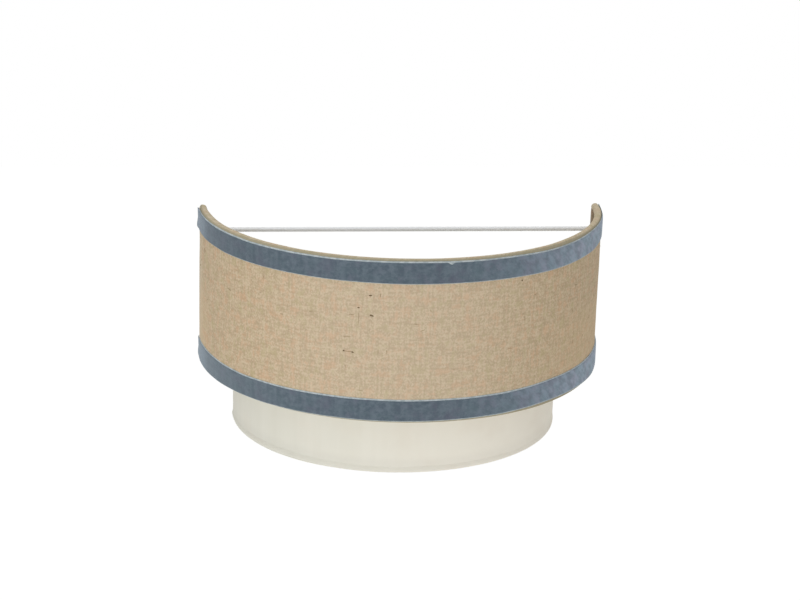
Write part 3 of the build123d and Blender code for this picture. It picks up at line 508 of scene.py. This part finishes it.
# ---- lines seen from above ----
class Path:
    """A line seen from above, walked from the left end of the shade to its right end.

    Each sample has its place, its outward direction and how far along the line it lies.
    """

    def __init__(self, places, headings):
        self.places = np.array(places)
        self.headings = np.array(headings)
        self.outward = np.stack([np.sin(self.headings), -np.cos(self.headings)], axis=1)
        steps = np.linalg.norm(np.diff(self.places, axis=0), axis=1)
        self.along = np.concatenate([[0.0], np.cumsum(steps)])

    def __len__(self):
        return len(self.places)

    def length(self):
        return float(self.along[-1])

    def from_end(self):
        """How far each sample lies from the nearer end."""
        return np.minimum(self.along, self.length() - self.along)


def arc(centre, radius, angles):
    """Part of a circle, at angles of which 0 points away from the wall."""
    places = [(centre[0] + radius * math.sin(a), centre[1] - radius * math.cos(a)) for a in angles]
    return Path(places, angles)


def front_arc(centre, radius, until, step=ARC_STEP):
    """The front of a circle, from -until to until."""
    count = max(2, round(2 * until / step))
    return arc(centre, radius, np.linspace(-until, until, count + 1))


class Walk:
    """A line laid step by step, each step straight on or part of a bend."""

    def __init__(self, place, heading):
        self.x, self.y = place
        self.heading = heading
        self.places, self.headings = [], []

    def go(self, length, turn=0.0, steps=BEND_STEPS):
        for _ in range(steps):
            middle = self.heading + turn / steps / 2
            self.x += length / steps * math.cos(middle)
            self.y += length / steps * math.sin(middle)
            self.heading += turn / steps
            self.places.append((self.x, self.y))
            self.headings.append(self.heading)


def turned_in(centre, radius, back_y, strut_in, lie):
    """A half circle whose ends turn in round the end struts and come back to lie on the film behind it.

    strut_in is where the cloth runs past the strut's inner side and lie where it lies on the film,
    both measured from the centre. The second value is how much of each end is turned in.
    """
    until = math.pi / 2 - math.asin((centre[1] - back_y + TUCK_BEND) / radius)
    front = front_arc(centre, radius, until)
    end = front.places[-1]
    walk = Walk(end, front.headings[-1])
    quarter = TUCK_BEND * math.pi / 2
    walk.go(quarter, math.pi - walk.heading)
    walk.go(end[0] - centre[0] - strut_in - 2 * TUCK_BEND, steps=3)
    walk.go(quarter, math.pi / 2)
    walk.go(TUCK_PAST, steps=4)
    walk.go(TUCK_BEND * TUCK_SLANT, TUCK_SLANT, 4)
    sideways = lie - strut_in - 2 * TUCK_BEND * (1 - math.cos(TUCK_SLANT))
    walk.go(max(0.0, sideways) / math.sin(TUCK_SLANT), steps=4)
    walk.go(TUCK_BEND * TUCK_SLANT, -TUCK_SLANT, 4)
    walk.go(TUCK_END, TUCK_CURL, 4)
    places, headings = np.array(walk.places), np.array(walk.headings)
    mirrored = places[::-1] * (-1, 1) + (2 * centre[0], 0)
    path = Path(np.concatenate([mirrored, front.places, places]),
                np.concatenate([-headings[::-1], front.headings, headings]))
    return path, path.length() / 2 - front.length() / 2


# ---- small shapes and wanderings ----
def smooth(t):
    """From 0 to 1 as t does, level at both ends."""
    return t * t * (3 - 2 * t)


def eased(share, marks):
    """A smooth run through (share, value) marks."""
    for (a, low), (b, high) in zip(marks, marks[1:]):
        if share <= b:
            return low + (high - low) * smooth(min(1.0, max(0.0, (share - a) / (b - a))))
    return marks[-1][1]


def unevenness(along, across, seed, size):
    """A smooth wander from -1 to 1, with waves about as long as size."""
    weights = (1.0, 0.7, 0.5, 0.35)
    total = np.zeros(np.broadcast(along, across).shape)
    for k, weight in enumerate(weights):
        turn = seed * 2.399 + k * 1.7
        wave = (along * math.cos(turn) + across * math.sin(turn)) * 2 * math.pi / (size * (1.0 - 0.17 * k))
        total = total + weight * np.sin(wave + seed * 5.1 + k * 2.3)
    return total / sum(weights)


def lean_shift(path, loops, centre):
    """How far, along x, the left side of the outer tier leans in towards its top and out towards its foot."""
    heights = np.clip(np.array(loops)[:, :, 1] - LEAN_MIDDLE, -LEAN_REACH, LEAN_REACH)
    away = path.places - centre
    radius = np.linalg.norm(away, axis=1)
    left = np.array([eased(-x / r, LEAN_SIDE) for x, r in zip(away[:, 0], radius)])
    outer = np.clip((radius - LEAN_INSIDE) / LEAN_FADE, 0.0, 1.0)
    return LEAN * heights * (left * outer)[:, None]


def round_trip(there, back):
    """One loop: there along one line, then back along the other."""
    return np.concatenate([there, back[::-1]])


def strip_loop(low, high, thick, rows, edge=0.35):
    """Points (outward, upward) round a strip's section: up its outer side, then down its inner side."""
    heights = np.linspace(low, high, rows)
    half = np.full(rows, thick / 2)
    half[0] *= edge
    half[-1] *= edge
    return round_trip(np.stack([half, heights], axis=1), np.stack([-half, heights], axis=1))


# ---- meshes ----
def shown(name, data):
    piece = bpy.data.objects.new(name, data)
    bpy.context.scene.collection.objects.link(piece)
    return piece


def skin(name, path, loops, rows, finishes, slot_of=None, shift=0.0):
    """A closed skin swept along a path, one loop of (outward, upward) points for each sample.

    rows says how far across the flat cloth each point of a loop lies, slot_of which finish the strip
    above it has, and shift how far along x it moves.
    """
    loops = np.array(loops)
    rings, points = loops.shape[:2]
    xy = path.places[:, None, :] + loops[:, :, :1] * path.outward[:, None, :]
    xy[:, :, 0] += shift
    verts = np.concatenate([xy, loops[:, :, 1:2]], axis=2).reshape(-1, 3)
    faces, slots = [], []
    for i in range(rings - 1):
        for j in range(points):
            k = (j + 1) % points
            faces.append((i * points + j, (i + 1) * points + j, (i + 1) * points + k, i * points + k))
            slots.append(slot_of(j) if slot_of else 0)
    last = (rings - 1) * points
    for j in range(points // 2 - 1):
        pair = points - 1 - j
        faces.append((j, j + 1, pair - 1, pair))
        faces.append((last + j, last + pair, last + pair - 1, last + j + 1))
        slots += [slot_of(j) if slot_of else 0] * 2
    mesh = bpy.data.meshes.new(name)
    mesh.from_pydata(verts.tolist(), [], faces)
    for finish in finishes:
        mesh.materials.append(finish)
    mesh.polygons.foreach_set("material_index", slots)
    mesh.shade_smooth()
    mesh.set_sharp_from_angle(angle=math.radians(60))
    rows = np.broadcast_to(rows, (rings, points)).ravel()
    loop_verts = np.zeros(len(mesh.loops), dtype=np.int64)
    mesh.loops.foreach_get("vertex_index", loop_verts)
    uv = np.stack([path.along[loop_verts // points], rows[loop_verts]], axis=1)
    mesh.uv_layers.new(name="cloth").data.foreach_set("uv", uv.ravel())
    mesh.update()
    return shown(name, mesh)


def put(piece, body, slot, *nodes):
    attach(piece, body)
    if nodes:
        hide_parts(*nodes)
    return piece


# ---- what the frame says about the two drums ----
Roll = namedtuple("Roll", "radius z size")  # radius of its half circle, its height, its own radius


def half_round(node):
    """Centre, seen from above, and radius of a half-round node."""
    low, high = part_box(node)
    return ((low.x + high.x) / 2, high.y), (high.x - low.x) / 2


class Drum:
    """A tier of the shade: its centre, the outer radius of its cloth and its two rolled edges."""

    def __init__(self, wall, top_roll, bottom_roll):
        self.centre, self.radius = half_round(wall)
        self.rolls = {}
        for where, node in (("top", top_roll), ("bottom", bottom_roll)):
            low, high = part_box(node)
            size = (high.z - low.z) / 2
            self.rolls[where] = Roll(high.x - self.centre[0] - size, (high.z + low.z) / 2, size)

    def span(self, inset):
        """The heights between its rolls, short of their middles by inset, a share of their radius."""
        top, bottom = self.rolls["top"], self.rolls["bottom"]
        return bottom.z + bottom.size * inset, top.z - top.size * inset


OUTER = Drum("jute_cover", "top_rim_binding", "bottom_rim_binding")
INNER = Drum("inner_cover", "inner_top_binding", "inner_bottom_binding")


def wall_skin(name, drum, path, loops, heights, finish):
    """A cover or film of a tier. The outer tier leans."""
    shift = lean_shift(path, loops, drum.centre) if drum is OUTER else 0.0
    return skin(name, path, loops, round_trip(heights, heights), [finish], shift=shift)


def wall_cloth(name, drum, thick, strut_node, finish, uneven, seed):
    """The cloth of a tier, turned in round its end struts."""
    strut_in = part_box(strut_node)[1].x - drum.centre[0] - STRUT_SIZE - thick / 2 - CLEARANCE
    lie = drum.radius - 1.5 * thick - FILM_THICK - TUCK_OFF_FILM
    path, tucked = turned_in(drum.centre, drum.radius - thick / 2, -(BACK_GAP + thick / 2), strut_in, lie)
    loops = []
    for along, from_end in zip(path.along, path.from_end()):
        inset = TUCK_INSET if from_end < tucked + TUCK_NARROW else COVER_INSET
        loop = strip_loop(*drum.span(inset), thick, COVER_ROWS)
        loop[:, 0] += uneven * unevenness(along, loop[:, 1], seed, 0.045)
        loops.append(loop)
    low, high = drum.span(0.0)
    return wall_skin(name, drum, path, loops, np.linspace(0.0, high - low, COVER_ROWS), finish), path


def film(name, drum, cloth_thick, finish, seed):
    """The stiff film behind the cloth."""
    middle = drum.radius - cloth_thick - CLEARANCE - FILM_THICK / 2
    path = front_arc(drum.centre, middle, math.pi / 2 - FILM_SHORT / middle)
    low, high = drum.span(FILM_INSET)
    loops = []
    for along in path.along:
        loop = strip_loop(low, high, FILM_THICK, FILM_ROWS)
        loop[:, 0] += 0.08 * MM * unevenness(along, loop[:, 1], seed, 0.06)
        loops.append(loop)
    return wall_skin(name, drum, path, loops, np.linspace(low, high, FILM_ROWS), finish)


def outwards_of(spots):
    """The direction square to a line at each of its spots, to the right of its run."""
    steps = np.diff(spots, axis=0)
    steps /= np.maximum(np.linalg.norm(steps, axis=1), 1e-9)[:, None]
    run = np.zeros_like(spots)
    run[1:] += steps
    run[:-1] += steps
    for i in np.flatnonzero(np.linalg.norm(run, axis=1) < 0.5):
        run[i] = run[i - 1]
    run /= np.linalg.norm(run, axis=1)[:, None]
    return np.stack([run[:, 1], -run[:, 0]], axis=1)


def roll_loop(size, thick, up, reach, out, inwards, crown, lay):
    """Section of a strip of cloth wrapped over a ring wire: over its outside, its top and its inside,
    then, as far as reach allows, slanting back to the film and lying on it.

    up is 1 on a top edge and -1 on a bottom edge. out, inwards and crown stretch the section. lay is
    how far outwards the strip's thinned-out start lies on the cover, or None where it is hidden behind
    the cover. The second value is how far along the strip each point lies.
    """
    half = thick / 2
    outer, inner, high, low = out * size - half, inwards * size - half, crown * size - half, size - half
    if lay is None:
        spots = [(outer * math.cos(a), low * math.sin(a)) for a in np.radians([-35, -28, -21, -14, -7])]
    else:
        spots = [(lay + (outer - lay) * smooth(t), -LAP * (1 - t)) for t in (0.0, 0.2, 0.4, 0.6, 0.8)]
    for a in np.linspace(0.0, WRAP, WRAP_SAMPLES):
        across = outer if math.cos(a) > 0 else inner
        spots.append((across * math.cos(a), (high if math.sin(a) > 0 else low) * math.sin(a)))
    x, z = spots[-1]
    leaving, down = WRAP + math.pi / 2, 3 * math.pi / 2
    step = TAIL_SLANT * reach / TAIL_STEPS
    for k in range(TAIL_STEPS):
        heading = leaving + (down - leaving) * ((k + 0.5) / TAIL_STEPS) ** 2
        x += step * math.cos(heading)
        z += step * math.sin(heading)
        spots.append((x, z))
    spots = np.array(spots + [(x, z - TAIL_LIE * reach * share) for share in (0.34, 0.67, 1.0)])
    lengths = np.concatenate([[0.0], np.cumsum(np.linalg.norm(np.diff(spots, axis=0), axis=1))])
    halves = np.full(len(spots), half)
    halves[0] = halves[-1] = half * 0.4
    if lay is not None:
        halves[:len(LAP_THICKNESS)] = half * np.array(LAP_THICKNESS)
    off = outwards_of(spots) * halves[:, None]
    return round_trip(spots + off, spots - off) * (1, up), round_trip(lengths, lengths)


def rolled_edge(name, drum, where, finish, seed, shape, thick=ROLL_CLOTH, lapped=False):
    """A strip of cloth rolled over a ring wire, with blunt rounded ends.

    shape says how far the roll reaches outwards, inwards and past the wire's crown, each as a share of
    its radius, along the roll from its left end (0) to its right (1).
    """
    radius, z, size = drum.rolls[where]
    up = 1 if where == "top" else -1
    blunt = size * ROLL_BLUNT / radius
    last = math.pi / 2 - ROLL_SHORT / radius
    inner = [a for a in np.arange(-math.pi / 2, math.pi / 2, ARC_STEP) if abs(a) < last - blunt * 1.2]
    tip = [last - blunt * share for share in ROLL_TIP]
    path = arc(drum.centre, radius, np.array(sorted(inner + tip + [-a for a in tip])))
    lay = drum.radius - radius + LAP_OFF_COVER if lapped else None
    loops, rows = [], []
    for along, from_end in zip(path.along, path.from_end()):
        reach = min(1.0, max(0.02, (from_end - TAIL_NONE) / TAIL_GROW))
        stretch = [eased(along / path.length(), shape[side]) for side in ("out", "in", "crown")]
        loop, lengths = roll_loop(size, thick, up, reach, *stretch, lay)
        swell = 1 + 0.022 * unevenness(along, 0.0, seed, 0.05)
        swell += 0.010 * unevenness(along, 0.0, seed + 3, 0.013)
        loop *= swell
        if from_end < blunt * radius:
            loop *= 0.12 + 0.88 * math.sqrt(max(0.0, 1 - (1 - from_end / (blunt * radius)) ** 2))
        loop[:, 1] += z
        loops.append(loop)
        rows.append(lengths)
    piece = skin(name, path, loops, rows, [finish])
    if up < 0:
        piece.data.flip_normals()
    return piece, path


def ribbon(name, node, finishes, seed, shape):
    """A velvet band: pile between two thin woven edges, with ends that stand off a little."""
    low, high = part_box(node)
    centre, radius = half_round(node)
    base = radius - PILE_HEIGHT
    path = front_arc(centre, base, math.pi / 2 - RIBBON_SHORT / base, ARC_STEP * 0.8)
    length = path.length()
    marks = np.concatenate([[0.0, 0.35, 0.8, 1.0], 1 + INTO_PILE, [1.5], 2 - INTO_PILE[::-1],
                            [2.0, 2.2, 2.65, 3.0]])
    rise = np.interp(marks, RISE_AT, RISE) * SELVEDGE_THICK
    loops, rows = [], []
    for s in path.along:
        def here(part):
            return MM * eased(s / length, shape[part])

        foot = low.z + here("foot") + WAVER * unevenness(s, 0.0, seed, 0.06)
        head = high.z - here("head") + WAVER * unevenness(s, 0.0, seed + 2, 0.05)
        head_edge = here("head edge")
        for where, depth in shape.get("nicks", ()):
            head_edge += depth * MM * math.exp(-((s - where * length) / NICK_WIDTH) ** 2)
        heights = np.interp(marks, [0, 1, 2, 3], [foot, foot + here("foot edge"), head - head_edge, head])
        puff = PUFF * unevenness(s, heights, seed + 4, 0.035)
        stand = here("flare") * np.interp(marks, [0, 3], [1.0, 0.1])
        for distance, lifts in ((s, shape["left"]), (length - s, shape["right"])):
            loose = max(0.0, 1 - distance / LOOSE_END) ** 1.6
            stand += loose * np.interp(marks, [0, 1.2, 1.5, 1.8, 3], lifts) * MM
        outer = np.stack([rise + stand + puff, heights], axis=1)
        inner = np.stack([stand + puff * 0.3, heights], axis=1)
        loops.append(round_trip(outer, inner))
        rows.append(round_trip(heights, heights) - low.z)

    def slot_of(j):
        """0 for the pile, 1 for the woven edges and the back."""
        return 0 if j < len(marks) - 1 and 1 < (marks[j] + marks[j + 1]) / 2 < 2 else 1

    return skin(name, path, loops, rows, finishes, slot_of, lean_shift(path, loops, centre)), path


def slubs(name, marks, finish):
    """Thick spots of yarn and stray fibres lying on the jute, each a flattened spindle."""
    rings, sides = 7, 8
    verts, faces = [], []
    for angle, z, length, width, tilt in marks:
        first = len(verts)
        for i in range(rings):
            t = -1 + 2 * i / (rings - 1)
            girth = math.sqrt(max(0.02, 1 - t * t))
            for k in range(sides):
                a = 2 * math.pi * k / sides
                across, out = math.cos(a) * girth * width / 2, math.sin(a) * girth * 0.22
                u = t * length / 2 * math.cos(tilt) - across * math.sin(tilt)
                v = t * length / 2 * math.sin(tilt) + across * math.cos(tilt)
                radius = OUTER.radius + (out + 0.05) * MM
                heading = math.radians(angle) + u * MM / OUTER.radius
                verts.append((OUTER.centre[0] + radius * math.sin(heading),
                              OUTER.centre[1] - radius * math.cos(heading), (z + v) * MM))
        for i in range(rings - 1):
            for k in range(sides):
                n = (k + 1) % sides
                a, b = first + i * sides, first + (i + 1) * sides
                faces.append((a + k, a + n, b + n, b + k))
        faces.append(tuple(first + k for k in reversed(range(sides))))
        faces.append(tuple(first + (rings - 1) * sides + k for k in range(sides)))
    mesh = bpy.data.meshes.new(name)
    mesh.from_pydata(verts, [], faces)
    mesh.materials.append(finish)
    mesh.shade_smooth()
    return shown(name, mesh)


# ---- the shade ----
# How the ribbons sit: millimetres that an edge lies inside the band's own height, the widths of its
# woven edges and how far it stands off, each along the band from its left end (0) to its right (1).
# left and right say how far its two ends stand off, from foot to head. nicks are (place, depth).
LEVEL = ((0.0, 0.0), (1.0, 0.0))
TOP_BAND = {
    "foot": ((0.0, 0.2), (0.03, 1.3), (0.065, 1.6), (0.13, 1.4), (0.16, 1.0), (0.60, 0.7), (0.72, 0.2),
             (0.82, 0.7), (0.92, 1.4), (1.0, 1.1)),
    "head": ((0.0, 2.4), (0.012, 1.3), (0.03, 0.6), (0.14, 0.6), (0.25, 1.1), (0.35, 1.0), (0.50, 0.55),
             (0.62, 0.9), (0.72, 1.8), (0.88, 0.2), (1.0, -0.2)),
    "foot edge": ((0.0, 0.3), (0.3, 0.45), (1.0, 0.5)),
    "head edge": ((0.0, 0.25), (0.02, 0.4), (0.05, 0.9), (0.14, 1.25), (0.62, 1.2), (0.76, 1.1), (1.0, 0.8)),
    "left": (1.3, 1.0, 0.3, 0.4, 1.5), "right": (0.1, 0.0, 0.0, 0.1, 0.4), "flare": LEVEL,
    "nicks": ((0.543, 1.8),),
}
BOTTOM_BAND = {
    "foot": ((0.0, 0.0), (0.10, 0.4), (0.45, 0.8), (0.62, 1.4), (0.72, 2.2), (0.80, 1.9), (0.83, 1.5),
             (0.88, 0.5), (1.0, 0.0)),
    "head": ((0.0, 3.0), (0.03, 0.7), (0.065, 0.1), (0.12, 0.4), (0.16, 1.0), (0.21, 1.3), (0.26, 1.0),
             (0.40, 0.5), (0.62, 0.1), (0.74, -0.9), (1.0, -0.9)),
    "foot edge": ((0.0, 0.3), (0.4, 0.5), (0.7, 0.7), (1.0, 0.6)),
    "head edge": ((0.0, 0.5), (0.04, 1.0), (0.4, 1.25), (0.62, 1.25), (0.78, 0.9), (1.0, 0.8)),
    "left": (1.0, 0.4, -0.1, 0.0, 0.9), "right": (0.4, 0.3, 0.2, 0.1, 0.2),
    "flare": ((0.0, 0.0), (0.72, 0.0), (0.86, 0.9), (1.0, 1.0)),
}
# How the cloth is rolled over each ring: its reach outwards, inwards and past the crown of the wire.
ROUND = ((0.0, 1.0), (1.0, 1.0))
ROLLS = {
    "top": {"out": ((0.0, 0.75), (0.06, 0.90), (0.12, 1.0), (1.0, 1.0)),
            "in": ((0.0, 1.15), (0.02, 1.30), (0.06, 1.70), (0.15, 1.60), (0.24, 1.20), (0.32, 1.0),
                   (0.76, 1.0), (0.88, 1.22), (1.0, 1.15)),
            "crown": ((0.0, 0.80), (0.06, 0.95), (0.20, 1.0), (0.35, 0.88), (0.70, 0.90), (0.82, 1.20),
                      (0.93, 1.25), (1.0, 1.08))},
    "bottom": {"out": ROUND, "in": ROUND,
               "crown": ((0.0, 0.78), (0.55, 0.80), (0.72, 0.92), (1.0, 0.92))},
    "inner": {"out": ((0.0, 0.78), (0.35, 0.68), (0.7, 0.64), (1.0, 0.64)), "in": ROUND,
              "crown": ((0.0, 1.0), (0.06, 1.15), (0.25, 1.12), (0.38, 0.95), (0.6, 0.80), (1.0, 0.80))},
}
# Thick spots in the weave, dark short ones and faint long ones: angle round the drum, height, length and
# width in millimetres, tilt.
SPOTS = (
    (-12.8, 72.7, 3.4, 1.2, -0.25), (-13.1, 72.9, 1.7, 0.8, 1.3), (-13.2, 89.3, 2.6, 1.1, 0.1),
    (-16.3, 78.6, 2.0, 1.0, -0.1), (-20.1, 41.6, 1.6, 1.3, 0.0), (-17.7, 41.0, 2.2, 1.1, -0.2),
    (28.6, 95.9, 1.8, 1.5, 0.6),
)
FAINT_SPOTS = (
    (-16.2, 70.0, 11.0, 0.35, 1.57), (-18.9, 41.3, 5.5, 0.4, -0.05), (-19.4, 53.8, 7.0, 0.35, 0.08),
)


def scattered_spots(count, seed):
    """Fainter spots strewn over the rest of the cloth."""
    random = np.random.default_rng(seed)
    angles, heights = random.uniform(-84, 84, count), random.uniform(8, 95, count)
    lengths, widths = random.uniform(1.2, 5.5, count), random.uniform(0.3, 0.6, count)
    tilts = random.choice([0.0, math.pi / 2], count) + random.normal(0, 0.12, count)
    return list(zip(angles, heights, lengths, widths, tilts))


def build_outer_tier():
    jute = jute_finish("jute_weave", srgb(210, 191, 162), srgb(184, 163, 134))
    jute_roll = roll_finish("jute_rolled")
    # the two bands differ only in the painted light at their left ends
    velvets = {"top": velvet_finish("velvet_pile_top", srgb(62, 74, 80)),
               "bottom": velvet_finish("velvet_pile_bottom", srgb(118, 131, 136))}
    edge = selvedge_finish("velvet_selvedge")
    warm_film = film_finish("warm_film", srgb(230, 223, 208), srgb(225, 217, 201))

    cloth, path = wall_cloth("jute_cloth", OUTER, JUTE_THICK, "outer_end_struts", jute, 0.16 * MM, seed=1)
    put(cloth, "shade", "jute", "jute_cover")
    path.length()
    put(slubs("jute_dark_spots", SPOTS, fibre_finish("fibre_dark", srgb(122, 104, 78))), "shade", "jute")
    faint = list(FAINT_SPOTS) + scattered_spots(42, seed=5)
    put(slubs("jute_fine_spots", faint, fibre_finish("fibre_tan", srgb(178, 157, 126))), "shade", "jute")

    for where, seed in (("top", 4), ("bottom", 9)):
        roll, path = rolled_edge(f"{where}_jute_roll", OUTER, where, jute_roll, seed, ROLLS[where])
        put(roll, "shade", "jute", f"{where}_rim_binding")
        path.length()

    for where, seed, shape in (("top", 5, TOP_BAND), ("bottom", 11, BOTTOM_BAND)):
        node = f"{where}_velvet_ribbon"
        band, path = ribbon(f"{where}_velvet_band", node, [velvets[where], edge], seed, shape)
        put(band, "shade", "velvet", node)
        path.length()

    put(film("outer_film", OUTER, JUTE_THICK, warm_film, seed=2), "shade", "liner_film", "outer_liner")


def build_inner_tier():
    cream = cream_finish("cream_cotton")
    pale_film = film_finish("pale_film", srgb(233, 230, 220), srgb(227, 223, 211))

    cloth, path = wall_cloth("cream_cloth", INNER, CREAM_THICK, "inner_end_struts", cream, 0.10 * MM, seed=6)
    put(cloth, "shade", "cream_cloth", "inner_cover")
    path.length()

    for where, seed in (("top", 7), ("bottom", 13)):
        roll, path = rolled_edge(f"inner_{where}_roll", INNER, where, cream, seed, ROLLS["inner"],
                                 CREAM_THICK, lapped=True)
        put(roll, "shade", "cream_cloth", f"inner_{where}_binding")
        path.length()

    put(film("inner_film", INNER, CREAM_THICK, pale_film, seed=8), "shade", "liner_film", "inner_liner")


def finish_metal_and_plastic():
    finishes = slot_finishes()
    for part in frame["record"]["subparts"]:
        node = frame["nodes"][part["node"]]
        if part["material_slot"] in finishes and not node.hide_render:
            node.data.materials.clear()
            node.data.materials.append(finishes[part["material_slot"]])


# ---- studio ----
def white_for_camera(tree):
    """1 where a camera, mirror or glass ray looks, 0 where light is gathered."""
    path = tree.nodes.new("ShaderNodeLightPath")
    seen = path.outputs["Is Camera Ray"]
    for kind in ("Is Glossy Ray", "Is Transmission Ray"):
        either = tree.nodes.new("ShaderNodeMath")
        either.operation = "MAXIMUM"
        tree.links.new(seen, either.inputs[0])
        tree.links.new(path.outputs[kind], either.inputs[1])
        seen = either.outputs[0]
    return seen


def build_world():
    world = bpy.data.worlds.new("studio")
    bpy.context.scene.world = world
    world.use_nodes = True
    tree = world.node_tree
    tree.nodes.clear()
    out = tree.nodes.new("ShaderNodeOutputWorld")
    mix = tree.nodes.new("ShaderNodeMixShader")
    tree.links.new(white_for_camera(tree), mix.inputs[0])
    for place, level in ((1, WORLD_LEVEL), (2, 1.0)):
        light = tree.nodes.new("ShaderNodeBackground")
        light.inputs["Color"].default_value = WHITE
        light.inputs["Strength"].default_value = level
        tree.links.new(light.outputs[0], mix.inputs[place])
    tree.links.new(mix.outputs[0], out.inputs["Surface"])


def build_floor():
    mesh = bpy.data.meshes.new("floor")
    half = FLOOR_SIDE / 2
    corners = [(x, y, FLOOR_Z) for x, y in ((-half, -half), (half, -half), (half, half), (-half, half))]
    mesh.from_pydata(corners, [], [(0, 1, 2, 3)])
    floor = shown("floor", mesh)
    f = Finish("floor_pale", (*FLOOR_COLOUR, 1.0), 1.0, Specular_IOR_Level=0.0, Emission_Color=WHITE)
    glow = f.math("MULTIPLY", white_for_camera(f.tree), FLOOR_LIFT)
    f.feed(f.shader.inputs["Emission Strength"], glow)
    mesh.materials.append(f.material)


def soft_lamp(name, place, aim, side, watts, tint=(1.0, 1.0, 1.0)):
    lamp = bpy.data.lights.new(name, "AREA")
    lamp.shape = "SQUARE"
    lamp.size = side
    lamp.energy = watts
    lamp.color = tint
    holder = shown(name, lamp)
    holder.location = place
    holder.rotation_euler = (Vector(aim) - Vector(place)).to_track_quat("-Z", "Y").to_euler()


def build_camera():
    ahead = Vector((math.sin(VIEW_YAW) * math.cos(VIEW_DOWN), math.cos(VIEW_YAW) * math.cos(VIEW_DOWN),
                    -math.sin(VIEW_DOWN)))
    level = Vector((math.cos(VIEW_YAW), -math.sin(VIEW_YAW), 0.0))
    upright = level.cross(ahead)
    across = level * math.cos(VIEW_ROLL) + upright * math.sin(VIEW_ROLL)
    up = upright * math.cos(VIEW_ROLL) - level * math.sin(VIEW_ROLL)
    data = bpy.data.cameras.new("camera")
    data.sensor_width = SENSOR_WIDTH
    data.lens = VIEW_LENS
    camera = shown("camera", data)
    turn = Matrix((across, up, -ahead)).transposed()
    camera.matrix_world = Matrix.Translation(VIEW_TARGET - ahead * VIEW_DISTANCE) @ turn.to_4x4()
    bpy.context.scene.camera = camera


build_camera()
build_world()
build_floor()
soft_lamp("key", place=(-1.25, -2.15, -0.35), aim=(0, -0.08, 0.0), side=1.6, watts=23.0)
soft_lamp("fill", place=(1.25, -0.42, -0.85), aim=(0.05, -0.08, 0.0), side=1.0, watts=3.0,
          tint=(1.0, 0.95, 0.88))
soft_lamp("top", place=(-0.3, -0.5, 2.1), aim=(0, -0.08, 0.02), side=1.4, watts=12.0)
build_outer_tier()
build_inner_tier()
finish_metal_and_plastic()
bpy.context.scene.view_settings.view_transform = "Standard"
